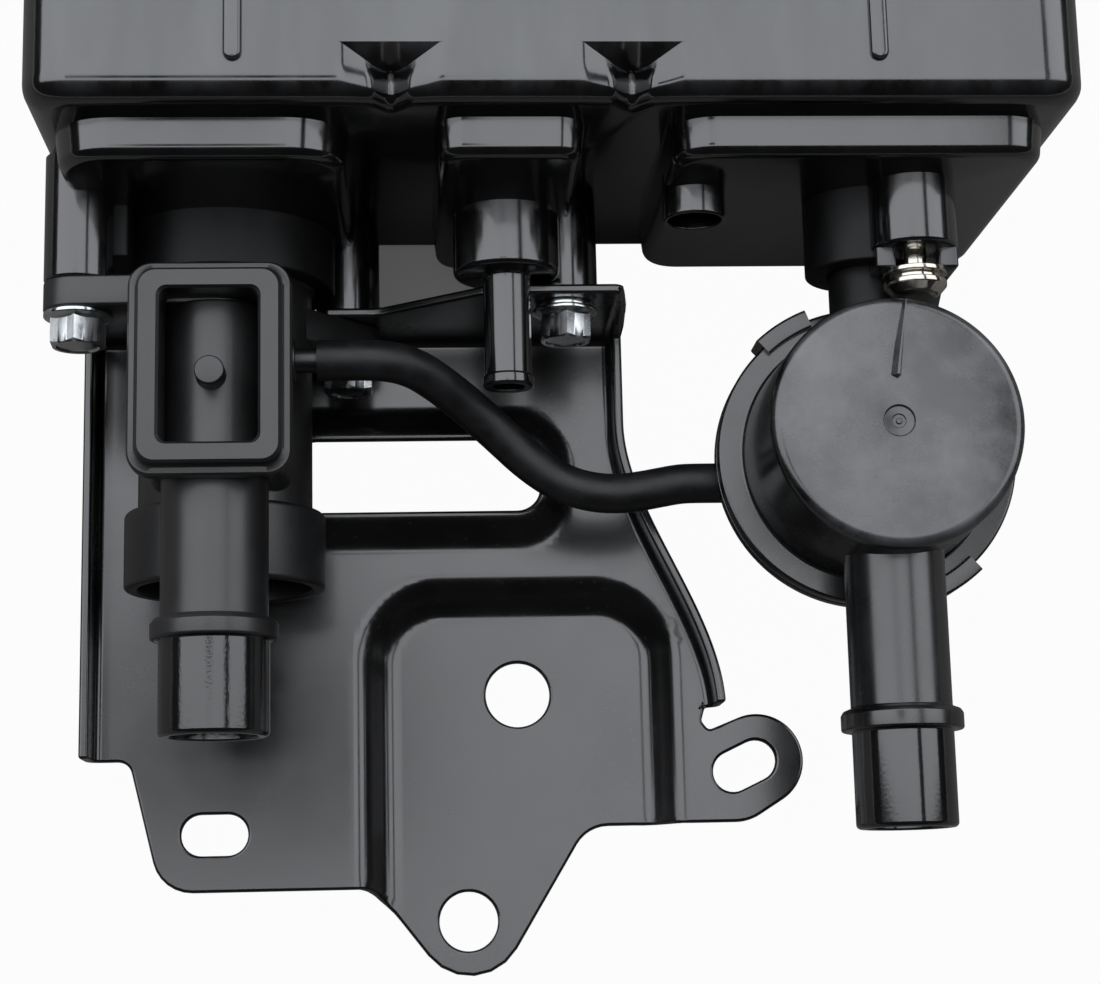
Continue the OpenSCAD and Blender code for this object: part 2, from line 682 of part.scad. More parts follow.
// Diaphragm valve's cap: turned shell with flange, outlet tube, neck, yoke and seat
module diaphragm_cap() color([0.1, 0.1, 0.105]) placed() difference() {
  union() {
    difference() {
      union() {
        translate([round_x, round_y, 0]) rotate_extrude() polygon(cap_profile());
        rod_y([outlet_x, outlet_z], round_y, -outlet_reach, outlet_r);
        rod_y([outlet_x, outlet_z], outlet_collar_l - outlet_collar_reach, -outlet_collar_reach,
          outlet_r + outlet_collar_h);
        rod_y([round_x, neck_z], neck_top, round_y, neck_r);
        screw_yoke();
        yoke_web();
        translate([round_x - face_rib_w / 2, round_y + dimple_r + 6, round_face_z - cut])
          cube([face_rib_w, cap_r - dimple_r - 7, cut + face_rib_h]);
      }
      translate([round_x, round_y, 0]) rotate_extrude() polygon(cap_inside());
    }
    translate([round_x, round_y, plate_top])
      cylinder(h = round_face_z - plate_top - cap_wall + cut, r = seat_r);
    rod_y([outlet_x, outlet_z], round_y, round_y - cap_r + cap_wall / 2, outlet_r);
  }
  translate([round_x, round_y, plate_top - cut]) cylinder(h = outlet_z - plate_top + cut, r = seat_bore_r);
  rod_y([outlet_x, outlet_z], round_y, -outlet_reach - cut, outlet_bore_d / 2);
  rod_y([round_x, neck_z], neck_top + cut, round_y + seat_r + 2, neck_bore_r);
  translate([round_x, round_y, round_face_z - 1]) cylinder(h = 1 + cut, r = dimple_r);
  o_ring_groove([round_x, neck_z], neck_ring_y, neck_r);
  rod_y([screw_x, screw_z], yoke_end, yoke_end - flat_washer_t - spring_washer_t - screw_head_h - pass_fit,
    flat_washer_r + pass_fit);
}

// Outer half section of the cap: flange, drafted wall, round edge and face
function cap_profile() = concat([[0, round_seam_z], [flange_r, round_seam_z],
  [flange_r, round_seam_z + flange_t], [cap_base_r, round_seam_z + flange_t]],
  [for (i = [0:6]) [cap_r, round_face_z] - cap_edge_r * [1 - cos(15 * i), 1 - sin(15 * i)]],
  [[0, round_face_z]]);
function cap_inside() = [[0, round_seam_z - cut], [cap_base_r - cap_wall, round_seam_z - cut],
  [cap_r - cap_wall, round_face_z - cap_wall], [0, round_face_z - cap_wall]];

// Forked plate under the screw boss, open to the front, with its web to the neck
module screw_yoke() difference() {
  slab_y(round_rect(screw_x - yoke_half_w, screw_x + yoke_half_w, neck_z, screw_z + yoke_half_w, 2),
    screw_boss_end, yoke_end);
  rod_y([screw_x, screw_z], screw_boss_end + cut, yoke_end - cut, yoke_slot_r);
  translate([screw_x - yoke_slot_r, yoke_end - cut, screw_z])
    cube([2 * yoke_slot_r, yoke_t + 2 * cut, 3 * yoke_half_w]);
  rod_y([round_x, neck_z], screw_boss_end + cut, neck_socket_end - drop_fit, neck_socket_r + spigot_fit);
}

// Web from the yoke to the cap, below the screw's head
module yoke_web() translate([0, 0, web_bottom]) linear_extrude(web_top - web_bottom) polygon([
  [screw_x - yoke_half_w, yoke_end + yoke_t / 2], [screw_x + yoke_half_w, yoke_end + yoke_t / 2],
  [round_x + web_half_w, web_foot_y], [round_x - web_half_w, web_foot_y]]);

// Diaphragm valve's housing: bowl with flange, hose nipple and two snap clips
module diaphragm_housing() color([0.1, 0.1, 0.105]) placed() difference() {
  union() {
    translate([round_x, round_y, 0]) rotate_extrude() polygon(housing_profile());
    for (a = clip_angles) translate([round_x, round_y, 0]) rotate([0, 0, a - clip_sweep / 2])
      rotate_extrude(angle = clip_sweep) polygon(clip_profile());
    translate([round_nipple_end, round_nipple_y, round_nipple_z]) rotate([0, 90, 0])
      cylinder(h = round_x - housing_r + wall - round_nipple_end, r = nipple_r);
  }
  translate([round_nipple_end - cut, round_nipple_y, round_nipple_z]) rotate([0, 90, 0])
    cylinder(h = round_x - housing_r + 2 * wall - round_nipple_end, r = nipple_hole_r);
}

function housing_profile() = concat([[0, housing_bottom]],
  [for (i = [0:6]) [housing_r - 4 + 4 * sin(15 * i), housing_bottom + 4 - 4 * cos(15 * i)]],
  [[housing_r, housing_z - flange_t], [flange_r, housing_z - flange_t], [flange_r, housing_z],
  [housing_r - wall, housing_z], [housing_r - wall, housing_bottom + wall], [0, housing_bottom + wall]]);

// Section of a snap clip that reaches over both flanges
function clip_profile() = [[flange_r - 0.5, housing_z - flange_t], [flange_r + 3, housing_z - flange_t],
  [flange_r + 3, clip_top + 0.6], [flange_r + 1.5, clip_top + 1.8], [flange_r - 1.2, clip_top],
  [flange_r + drop_fit, clip_top], [flange_r + drop_fit, housing_z - 0.5],
  [flange_r - 0.5, housing_z - 0.5]];

// Rubber diaphragm clamped between the flanges
module diaphragm() color([0.05, 0.05, 0.05]) placed()
  translate([round_x, round_y, housing_z]) difference() {
  cylinder(h = diaphragm_t, r = flange_r - 0.4);
  translate([0, 0, -cut]) cylinder(h = diaphragm_t + 2 * cut, r = plate_stem_r + 0.1);
}

// Plate that closes the seat, with its stem through the diaphragm
module diaphragm_plate() color([0.75, 0.73, 0.66]) placed() translate([round_x, round_y, 0]) {
  translate([0, 0, round_seam_z]) cylinder(h = plate_top - round_seam_z, r = plate_r);
  translate([0, 0, housing_z - cup_t]) cylinder(h = round_seam_z - housing_z + cup_t, r = plate_stem_r);
}

module spring_cup() color([0.7, 0.7, 0.72]) placed()
  translate([round_x, round_y, housing_z - cup_t]) difference() {
  cylinder(h = cup_t, r = cup_r);
  translate([0, 0, -cut]) cylinder(h = cup_t + 2 * cut, r = plate_stem_r + 0.05);
}

module diaphragm_spring() color([0.7, 0.7, 0.72]) placed()
  translate([round_x, round_y, 0]) rotate([90, 0, 0])
  sweep_tube(helix(housing_bottom + wall + round_wire + 0.1, housing_z - cup_t - round_wire - 0.1,
      round_coil_r, coils),
    [0, 1, 0], round_wire, sides = 8);

module neck_o_ring() color([0.05, 0.05, 0.05]) placed() o_ring([round_x, neck_z], neck_ring_y, neck_r);

// Pan head screw of the diaphragm valve
module valve_screw() color([0.8, 0.78, 0.72]) placed() {
  head_y = yoke_end - flat_washer_t - spring_washer_t;
  rod_y([screw_x, screw_z], screw_boss_end + screw_insert_l, head_y - 0.5, screw_d / 2 - thread_fit);
  translate([screw_x, head_y, screw_z]) rotate([90, 0, 0]) rotate_extrude() polygon(concat([[0, 0]],
    [for (i = [0:6]) [screw_head_r - 2 + 2 * cos(15 * i), screw_head_h - 2 + 2 * sin(15 * i)]],
    [[0, screw_head_h]]), convexity = 2);
}

module screw_ring(y, t, r) difference() {
  rod_y([screw_x, screw_z], y, y - t, r);
  rod_y([screw_x, screw_z], y + cut, y - t - cut, screw_d / 2 + 0.2);
}

module flat_washer() color([0.8, 0.78, 0.72]) placed() screw_ring(yoke_end, flat_washer_t, flat_washer_r);

// Split spring washer under the screw's head
module spring_washer() color([0.8, 0.78, 0.72]) placed() difference() {
  screw_ring(yoke_end - flat_washer_t, spring_washer_t, flat_washer_r - 1.3);
  translate([screw_x, yoke_end - flat_washer_t - spring_washer_t - cut, screw_z - 0.4])
    cube([flat_washer_r, spring_washer_t + 2 * cut, 0.8]);
}

module signal_hose() color([0.1, 0.1, 0.1]) placed()
  sweep_tube(hose_route, [0, 0, 1], hose_d / 2, hose_bore_d / 2, sides = 12);

// Bracket: one pressed sheet with a sunk panel, turned up rims, an upright flange, lug and slotted tab
module bracket() color([0.12, 0.12, 0.125]) placed() difference() {
  union() {
    translate([0, 0, panel_d]) linear_extrude(sheet_t) polygon(bracket_outline());
    intersection() {
      dish(0, panel_d + sheet_t / 2, side_shift);
      translate([0, 0, -cut]) linear_extrude(sheet_z) polygon(bracket_outline());
    }
    lip(panel_d + sheet_t / 2, sheet_z + lip_h, 0);
    left_rim();
    right_rim();
    upright_flange();
  }
  dish(sheet_t, sheet_z + cut, 0);
  lip(panel_d - cut, sheet_z + lip_h - sheet_t, lip_shift);
  translate([0, 0, -cut]) linear_extrude(sheet_z + lip_h + 2 * cut) polygon(window_path(0));
  translate([panel_hole[0], panel_hole[1], -cut]) cylinder(h = sheet_z, r = panel_hole_d / 2);
  translate([lug[0], lug[1], -cut]) cylinder(h = sheet_z, r = lug_hole_d / 2);
  slot(slot_left, 0);
  slot(slot_tab, slot_tab_angle);
  for (p = [vent_boss_right, bracket_boss]) rod_y(p, upright_y + cut, upright_face - cut, bolt_hole_d / 2);
  rod_y(purge_at, upright_y + cut, upright_face - cut, nipple_d / 2 + purge_bead_h + pass_fit);
}

// Outline of the flat sheet, seen from the front, as [x, y, corner radius]
function bracket_outline() = round_path(concat(
  [for (reach = [bend_room - upright_y:rim_step:right_rim_end]) [edge_at(reach), -reach, 0]],
  [[notch_x, -right_rim_end - notch_r / 4, notch_r / 5], [notch_x, -right_rim_end - notch_d, notch_r],
    [notch_x + notch_w, -right_rim_end - notch_d, notch_r],
    [notch_x + notch_w, slot_tab[1] + tab_r, notch_r],
    [slot_tab[0] + 13, slot_tab[1] + tab_r + 1, tab_r - 1], [slot_tab[0] + 14, slot_tab[1] - 4, tab_r - 2],
    [slot_tab[0] - 1.4, tab_foot, foot_r / 2], lug_right, lug_corner, lug_left,
    [slot_left[0] - foot_in, foot_y, foot_r], [slot_left[0] - foot_out, -left_rim_end, foot_r / 2],
    [rim_x + bend_room, -left_rim_end, 0], [rim_x + bend_room, upright_y - bend_room, 0]]));

// Edge of the sunk panel, open beyond the bottom of the sheet; held in by a step
function panel_path(step) = round_rect(panel_left + step, panel_right - step, -lug_reach - 30,
  panel_top - step, panel_r - step / 2);

// Step of the hollow's sloping side at a height
function dish_step(z) = panel_slope * (sheet_z - z) / panel_d;

// Dish with sloping sides between two heights, moved outwards by a shift
module dish(z0, z1, shift) hull() for (z = [z0, z1 - slice])
  translate([0, 0, z]) linear_extrude(slice) polygon(panel_path(dish_step(z) - shift));

// Edge of the window, grown by a step
function window_path(step) = round_rect(window[0][0] - step, window[1][0] + step, window[0][1] - step,
  window[1][1] + step, window_r + step);

// Raised border round the window between two heights, moved inwards by a shift
module lip(z0, z1, shift) hull() for (z = [z0, z1 - slice]) translate([0, 0, z]) linear_extrude(slice)
  polygon(window_path(lip_w + lip_slope * (sheet_z + lip_h - z) / lip_h - shift));

// L section of a rim: short flat leg, round bend and upright leg
function rim_section(h) = concat([[bend_room + cut, sheet_t], [bend_room + cut, 0]],
  [for (i = [0:6]) bend_room * [1 - sin(15 * i), 1 - cos(15 * i)]],
  [[0, sheet_t + h], [sheet_t, sheet_t + h]],
  [for (i = [0:6]) [bend_room - bend_r * cos(15 * i), bend_room - bend_r * sin(15 * i)]]);

module left_rim() translate([rim_x, upright_y - bend_room, panel_d]) rotate([90, 0, 0])
  linear_extrude(left_rim_end + upright_y - bend_room) polygon(rim_section(rim_h));

// Rim along the flared right edge
module right_rim() translate([0, 0, panel_d]) linear_extrude(sheet_t + rim_h) polygon(concat(
  [for (reach = [bend_room - upright_y:rim_step:right_rim_end]) [edge_at(reach), -reach]],
  [for (reach = [right_rim_end:-rim_step:bend_room - upright_y]) [edge_at(reach) - sheet_t, -reach]]));

// Upright flange that bolts to the body, its tab at the left of the vent valve, and their bend at the foot
module upright_flange() {
  foot = panel_d + bend_room;
  slab_y(round_path([[edge_x, foot, 0], [edge_x, upright_high, upright_r],
    [upright_slope[1], upright_high, 2 * upright_r], [upright_slope[0], upright_low, 2 * upright_r],
    [upright_left, upright_low, upright_r],
    [upright_left, foot, 0]]),
    upright_y, upright_face);
  slab_y(round_path([[tab_right, foot, 0], [tab_right, upright_low, upright_r], [rim_x, upright_low, upright_r],
    [rim_x, foot, 0]]), upright_y, upright_face);
  for (x = [[rim_x, tab_right], [upright_left, edge_x]])
    translate([x[0], upright_y, panel_d]) mirror([0, 1, 0]) rotate([90, 0, 90])
      linear_extrude(x[1] - x[0]) polygon(rim_section(bend_r + cut));
}

module slot(p, angle) translate([p[0], p[1], panel_d - cut]) rotate([0, 0, angle])
  linear_extrude(sheet_t + 2 * cut) union() {
    square([slot_l - slot_w, slot_w], center = true);
    for (s = [-1, 1]) translate([s * (slot_l - slot_w) / 2, 0]) circle(slot_w / 2);
  }

// Hexagon bolt with a flange, head towards -Y
module flange_bolt(p, y) {
  rod_y(p, y + bolt_l, y - 1, bolt_d / 2 - thread_fit);
  rod_y(p, y, y - bolt_flange_t, bolt_flange_d / 2);
  translate([p[0], y, p[1]]) rotate([90, 0, 0])
    cylinder(h = bolt_flange_t + hex_h, r = bolt_af / sqrt(3), $fn = 6);
}

module vent_bolts() color([0.75, 0.76, 0.77]) placed() for (p = vent_bosses) flange_bolt(p, ear_face);
module bracket_bolt() color([0.75, 0.76, 0.77]) placed() flange_bolt(bracket_boss, upright_face - washer_t);
module bracket_washer() color([0.7, 0.71, 0.72]) placed() difference() {
  rod_y(bracket_boss, upright_face, upright_face - washer_t, bolt_flange_d / 2 - 0.6);
  rod_y(bracket_boss, upright_face + cut, upright_face - washer_t - cut, bolt_hole_d / 2);
}

// Brass inserts pressed into the bosses
module insert(p, y) difference() {
  rod_y(p, y + insert_l, y, insert_d / 2 - press_fit);
  rod_y(p, y + insert_l + cut, y - cut, bolt_d / 2);
}
module bolt_inserts() color([0.7, 0.55, 0.25]) placed() {
  insert(vent_boss_left, ear_y);
  for (p = [vent_boss_right, bracket_boss]) insert(p, upright_y);
}
module screw_insert() color([0.7, 0.55, 0.25]) placed() difference() {
  rod_y([screw_x, screw_z], screw_boss_end + screw_insert_l, screw_boss_end, screw_insert_r - press_fit);
  rod_y([screw_x, screw_z], screw_boss_end + screw_insert_l + cut, screw_boss_end - cut, screw_d / 2);
}

case();
rear_cover();
carbon_bed(chambers[0]);  // carbon_bed_left
carbon_bed(chambers[1]);  // carbon_bed_middle
carbon_bed(chambers[2]);  // carbon_bed_right
port_filter(chambers[0]);  // port_filter_left
port_filter(chambers[1]);  // port_filter_middle
port_filter(chambers[2]);  // port_filter_right
rear_filter(chambers[0]);  // rear_filter_left
rear_filter(chambers[1]);  // rear_filter_middle
rear_filter(chambers[2]);  // rear_filter_right
retainer_plate(chambers[0]);  // retainer_plate_left
retainer_plate(chambers[1]);  // retainer_plate_middle
retainer_plate(chambers[2]);  // retainer_plate_right
retainer_spring(chambers[0]);  // retainer_spring_left
retainer_spring(chambers[1]);  // retainer_spring_middle
retainer_spring(chambers[2]);  // retainer_spring_right
vent_valve_body();
vent_cap();
vent_foam();
vent_poppet();
vent_spring();
vent_o_ring();
diaphragm_cap();
diaphragm_housing();
diaphragm();
diaphragm_plate();
spring_cup();
diaphragm_spring();
neck_o_ring();
valve_screw();
spring_washer();
flat_washer();
signal_hose();
bracket();
bracket_bolt();
bracket_washer();
vent_bolts();
bolt_inserts();
screw_insert();
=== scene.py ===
import json
import math

import bmesh
import bpy
import numpy as np
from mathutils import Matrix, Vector
from mathutils.geometry import delaunay_2d_cdt


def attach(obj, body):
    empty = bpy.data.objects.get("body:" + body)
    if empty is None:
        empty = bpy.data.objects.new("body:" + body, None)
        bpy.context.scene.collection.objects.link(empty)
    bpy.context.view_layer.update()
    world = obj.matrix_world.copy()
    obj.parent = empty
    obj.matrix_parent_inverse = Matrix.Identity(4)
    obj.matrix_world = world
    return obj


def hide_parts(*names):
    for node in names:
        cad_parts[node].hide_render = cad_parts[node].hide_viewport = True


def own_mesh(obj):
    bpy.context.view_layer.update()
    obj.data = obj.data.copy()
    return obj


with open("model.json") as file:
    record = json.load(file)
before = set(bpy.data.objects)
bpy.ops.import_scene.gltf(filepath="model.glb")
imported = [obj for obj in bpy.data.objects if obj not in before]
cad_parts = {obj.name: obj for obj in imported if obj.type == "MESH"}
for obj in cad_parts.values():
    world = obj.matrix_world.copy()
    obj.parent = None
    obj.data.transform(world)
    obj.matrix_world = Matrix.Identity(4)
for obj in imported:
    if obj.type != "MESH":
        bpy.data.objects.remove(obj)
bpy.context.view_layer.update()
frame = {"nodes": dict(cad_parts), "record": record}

# Camera: a long lens above the port end, a little to the left of the middle,
# turned so that the body runs out of the top of the picture.
camera = bpy.data.cameras.new("camera")
camera.lens = 75.27
camera.sensor_width = 36.0
camera.sensor_fit = "HORIZONTAL"
camera_stand = bpy.data.objects.new("camera", camera)
camera_stand.location = (-0.0280, -0.1679, 0.4978)
camera_stand.rotation_euler = tuple(math.radians(a) for a in (11.115, -3.186, -1.301))
bpy.context.scene.collection.objects.link(camera_stand)
bpy.context.scene.camera = camera_stand
bpy.context.scene.view_settings.view_transform = "Standard"

# Signal hose: a thin rubber hose pushed on the nipples of both valves.
# It is extruded, matt black and a little dusty, and sags in one loose S.
end_y = -15.0
hose_d = 8.2
hose_bore = 5.4
hose_route = np.array([
    (-47, -38.6, 52), (-42.5, -38.6, 52), (-37, -38.6, 52), (-33.6, -38.7, 51.5), (-30.3, -39, 50.1),
    (-27.2, -39.7, 48), (-24.1, -41, 45.4), (-21.1, -42.6, 42.8), (-18.1, -44.5, 40.5), (-15, -46.8, 38.5),
    (-11.9, -49.3, 36.9), (-8.8, -52, 35.8), (-5.8, -54.7, 35.1), (-2.7, -57.2, 34.7), (0.4, -59.3, 34.5),
    (3.5, -60.9, 34.5), (6.7, -62, 34.5), (10.6, -62.7, 34.5), (14.8, -62.8, 34.5), (19, -62.3, 34.5),
    (23, -61.6, 34.5), (26, -61.1, 34.5), (29, -60.9, 34.5), (36, -60.9, 34.5)])


def in_frame(points):
    """Points drawn in millimetres from the port end of the body, as metres in the shared frame."""
    return (np.asarray(points, float) + (0.0, end_y, 0.0)) * 0.001


def surface(points, wrap_u=False, wrap_v=False):
    """Corners and four-sided faces of a grid of points [u, v, xyz]; a wrapped direction joins its ends."""
    nu, nv = points.shape[:2]
    u = np.arange(nu if wrap_u else nu - 1)
    v = np.arange(nv if wrap_v else nv - 1)
    u, v = (a.ravel() for a in np.meshgrid(u, v, indexing="ij"))
    un, vn = (u + 1) % nu, (v + 1) % nv
    faces = np.stack([u * nv + v, un * nv + v, un * nv + vn, u * nv + vn], axis=1)
    return points.reshape(-1, 3), faces


def piece(name, parts, finish, stands_for=(), body="canister", sharp=32.0):
    """One object from (corners, faces) parts: corners that meet are merged, faces are turned outwards
    and shaded smooth, and edges sharper than the given angle stay crisp."""
    shifts = np.cumsum([0] + [len(corners) for corners, _ in parts[:-1]])
    corners = np.concatenate([c for c, _ in parts])
    faces = [f for (_, part), s in zip(parts, shifts) for f in (np.asarray(part) + s).tolist()]
    mesh = bpy.data.meshes.new(name)
    mesh.from_pydata(in_frame(corners).tolist(), [], faces)
    work = bmesh.new()
    work.from_mesh(mesh)
    bmesh.ops.delete(work, geom=[v for v in work.verts if not v.link_faces], context="VERTS")
    bmesh.ops.remove_doubles(work, verts=work.verts, dist=1e-6)
    bmesh.ops.dissolve_degenerate(work, edges=work.edges, dist=1e-7)
    bmesh.ops.recalc_face_normals(work, faces=work.faces)
    work.to_mesh(mesh)
    work.free()
    mesh.polygons.foreach_set("use_smooth", np.ones(len(mesh.polygons), bool))
    mesh.set_sharp_from_angle(angle=math.radians(sharp))
    mesh.materials.append(finish)
    made = bpy.data.objects.new(name, mesh)
    bpy.context.scene.collection.objects.link(made)
    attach(made, body)
    if stands_for:
        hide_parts(*stands_for)
    return made


def smooth_route(points, steps):
    """Smooth curve through the points, each stretch cut into steps: a cubic whose slope at a point
    follows the line between its two neighbours."""
    p = np.vstack([2 * points[0] - points[1], points, 2 * points[-1] - points[-2]])
    t = np.linspace(0, 1, steps, endpoint=False)[None, :, None]
    a, b, c, d = (p[i:len(p) - 3 + i, None, :] for i in range(4))
    curve = 0.5 * (2 * b + (c - a) * t + (2 * a - 5 * b + 4 * c - d) * t ** 2
                   + (3 * b - a - 3 * c + d) * t ** 3)
    return np.vstack([curve.reshape(-1, 3), points[-1:]])


def tube(route, radii, sides):
    """Tube along a route: at each point a circle square to the route; the radii follow each other
    from the outside over the end to the bore, so the wall is closed."""
    along = np.gradient(route, axis=0)
    along /= np.linalg.norm(along, axis=1, keepdims=True)
    across = np.cross(along, (0.0, 0.0, 1.0))
    across /= np.linalg.norm(across, axis=1, keepdims=True)
    over = np.cross(across, along)
    turn = np.linspace(0, 2 * np.pi, sides, endpoint=False)[None, :, None]
    ring = np.cos(turn) * across[:, None] + np.sin(turn) * over[:, None]
    outer, bore = (route[:, None] + r * ring for r in radii)
    return surface(np.concatenate([outer, bore[::-1]]), wrap_u=True, wrap_v=True)


def in_range(tree, value, low, high, to_low=0.0, to_high=1.0):
    """Output that runs from to_low to to_high while a value runs from low to high, and stays there beyond."""
    node = tree.nodes.new("ShaderNodeMapRange")
    node.inputs["From Min"].default_value = low
    node.inputs["From Max"].default_value = high
    node.inputs["To Min"].default_value = to_low
    node.inputs["To Max"].default_value = to_high
    tree.links.new(value, node.inputs["Value"])
    return node.outputs["Result"]


def combined(tree, operation, a, b):
    """Output of two values put together by a sum, product or the like."""
    node = tree.nodes.new("ShaderNodeMath")
    node.operation = operation
    tree.links.new(a, node.inputs[0])
    tree.links.new(b, node.inputs[1])
    return node.outputs["Value"]


def tinted(tree, colour, amount, tint):
    """Output of a colour that turns to a tint by an amount from 0 to 1."""
    node = tree.nodes.new("ShaderNodeMix")
    node.data_type = "RGBA"
    node.inputs["B"].default_value = (*tint, 1.0)
    tree.links.new(amount, node.inputs["Factor"])
    tree.links.new(colour, node.inputs["A"])
    return node.outputs["Result"]


def finish(name, dark, light, rough, spread=0.08, patch=40.0, stretch=(1, 1, 1), grain=900.0, bump=0.05,
           metal=0.0, specular=0.5, coat=0.0, coat_rough=0.1, coat_ior=1.5, dust=0.0, dust_size=900.0,
           haze_and_painted_sheen=None, polish=None):
    """Procedural finish on object coordinates: two colours mixed by a cloudy pattern, roughness that
    wanders by the same pattern, fine grain as bump, and specks of dust where asked. A sheen band
    (axis, start, full, colour) lightens the colour in patches where that coordinate passes from start to
    full: a painted sheen standing in for the lamp's reflection, with some haze; and a polish
    (y, roughness) makes everything beyond that y smooth."""
    material = bpy.data.materials.new(name)
    material.use_nodes = True
    tree = material.node_tree
    nodes, links = tree.nodes, tree.links
    shader = nodes["Principled BSDF"]
    shader.inputs["Metallic"].default_value = metal
    shader.inputs["Specular IOR Level"].default_value = specular
    shader.inputs["Coat Weight"].default_value = coat
    shader.inputs["Coat Roughness"].default_value = coat_rough
    shader.inputs["Coat IOR"].default_value = coat_ior
    place = nodes.new("ShaderNodeTexCoord")
    axes = nodes.new("ShaderNodeSeparateXYZ")
    links.new(place.outputs["Object"], axes.inputs["Vector"])
    mapping = nodes.new("ShaderNodeMapping")
    mapping.inputs["Scale"].default_value = stretch
    links.new(place.outputs["Object"], mapping.inputs["Vector"])
    cloud = nodes.new("ShaderNodeTexNoise")
    cloud.inputs["Scale"].default_value = patch
    cloud.inputs["Detail"].default_value = 8.0
    cloud.inputs["Roughness"].default_value = 0.62
    links.new(mapping.outputs["Vector"], cloud.inputs["Vector"])
    ramp = nodes.new("ShaderNodeValToRGB")
    ramp.color_ramp.elements[0].position = 0.40
    ramp.color_ramp.elements[1].position = 0.68
    ramp.color_ramp.elements[0].color = (*dark, 1.0)
    ramp.color_ramp.elements[1].color = (*light, 1.0)
    links.new(cloud.outputs["Fac"], ramp.inputs["Fac"])
    colour = ramp.outputs["Color"]
    if dust:
        specks = nodes.new("ShaderNodeTexVoronoi")
        specks.inputs["Scale"].default_value = dust_size
        links.new(place.outputs["Object"], specks.inputs["Vector"])
        near = in_range(tree, specks.outputs["Distance"], 0.16, 0.04, to_high=dust)
        colour = tinted(tree, colour, near, (0.30, 0.29, 0.27))
    # Painted sheen: patches of lighter base colour in a band along one axis, standing in for the lamp's
    # reflection on faces that look up at it, with some haze.
    if haze_and_painted_sheen:
        axis, start, full, tint = haze_and_painted_sheen
        low, high = (in_frame((edge, edge, edge))["XYZ".index(axis)] for edge in (start, full))
        in_sheen_band = in_range(tree, axes.outputs[axis], low, high)
        patchy = in_range(tree, cloud.outputs["Fac"], 0.40, 0.66)
        colour = tinted(tree, colour, combined(tree, "MULTIPLY", in_sheen_band, patchy), tint)
    links.new(colour, shader.inputs["Base Color"])
    roughness = in_range(tree, cloud.outputs["Fac"], 0.3, 0.7, rough - spread, rough + spread)
    if polish:
        beyond = nodes.new("ShaderNodeMath")
        beyond.operation = "LESS_THAN"
        beyond.inputs[1].default_value = in_frame((0.0, polish[0], 0.0))[1]
        links.new(axes.outputs["Y"], beyond.inputs[0])
        smooth = nodes.new("ShaderNodeMix")
        smooth.inputs["B"].default_value = polish[1]
        links.new(beyond.outputs["Value"], smooth.inputs["Factor"])
        links.new(roughness, smooth.inputs["A"])
        roughness = smooth.outputs["Result"]
    links.new(roughness, shader.inputs["Roughness"])
    fine = nodes.new("ShaderNodeTexNoise")
    fine.inputs["Scale"].default_value = grain
    fine.inputs["Detail"].default_value = 3.0
    links.new(place.outputs["Object"], fine.inputs["Vector"])
    relief = nodes.new("ShaderNodeBump")
    relief.inputs["Strength"].default_value = bump
    relief.inputs["Distance"].default_value = 0.0004
    links.new(fine.outputs["Fac"], relief.inputs["Height"])
    links.new(relief.outputs["Normal"], shader.inputs["Normal"])
    return material


hose_rubber = finish("hose_rubber", (0.006, 0.006, 0.0065), (0.012, 0.012, 0.013), 0.48, patch=220,
                     grain=2400, bump=0.10, specular=0.6, dust=0.10, dust_size=1300)
hose_line = smooth_route(hose_route, 6)
hose = piece("signal_hose_tube", [tube(hose_line, (hose_d / 2, hose_bore / 2), 40)], hose_rubber,
             ("signal_hose",))

# Case: one black nylon moulding, a deep rounded box with three chambers.
# Its port end carries pads, bosses, sockets, the purge nipple and an open stub, all moulded on.
body_w = 200.0
body_t = 96.0
case_l = 178.0
edge_r = 9.0
end_r = 5.0
wall = 2.5
end_wall = 3.0
dividers = (-31.5, 13.5)
front_points = 560
back_points = 40
valley_w = 9.3
crease_w = 3.8
scoop_run = 3.6
valley_l = 10.8
vent_x, vent_z = -66.6, 32.0
round_x, round_y = 63.8, -57.8
screw_x, screw_z = 71.0, 65.7
neck_z = 54.0
purge_at = (-8.8, 48.0)
stub_at = (28.3, 61.2)
boss_r, boss_bore, boss_depth = 6.8, 4.5, 18
boss_left = (-93.2, 58.5)
boss_right = (-41.8, 18.6)
boss_bracket = (3.6, 38.0)
pad_low, pad_high = 8.0, body_t - 10.4
pad_face, pad_edge, pad_draft = -7.4, 2.6, 0.75
rib_w, rib_high = 3.6, 1.2


def rounded(corners, steps=6):
    """Path through corners (a, b, radius): each corner with a radius becomes an arc that touches
    both of its sides."""
    out = []
    before, after = corners[-1:] + corners[:-1], corners[1:] + corners[:1]
    for (pa, pb, _), (a, b, r), (na, nb, _) in zip(before, corners, after):
        if r <= 0:
            out.append(np.array([[a, b]]))
            continue
        here = np.array([a, b])
        back = np.array([pa, pb]) - here
        on = np.array([na, nb]) - here
        back, on = back / np.linalg.norm(back), on / np.linalg.norm(on)
        half = 0.5 * np.arccos(np.clip(back @ on, -1, 1))
        middle = (back + on) / np.linalg.norm(back + on)
        centre = here + middle * r / np.sin(half)
        start, stop = here + back * r / np.tan(half) - centre, here + on * r / np.tan(half) - centre
        a0, a1 = np.arctan2(start[1], start[0]), np.arctan2(stop[1], stop[0])
        sweep = (a1 - a0 + np.pi) % (2 * np.pi) - np.pi
        t = a0 + sweep * np.linspace(0, 1, steps + 1)
        out.append(centre + r * np.stack([np.cos(t), np.sin(t)], axis=1))
    return np.concatenate(out)


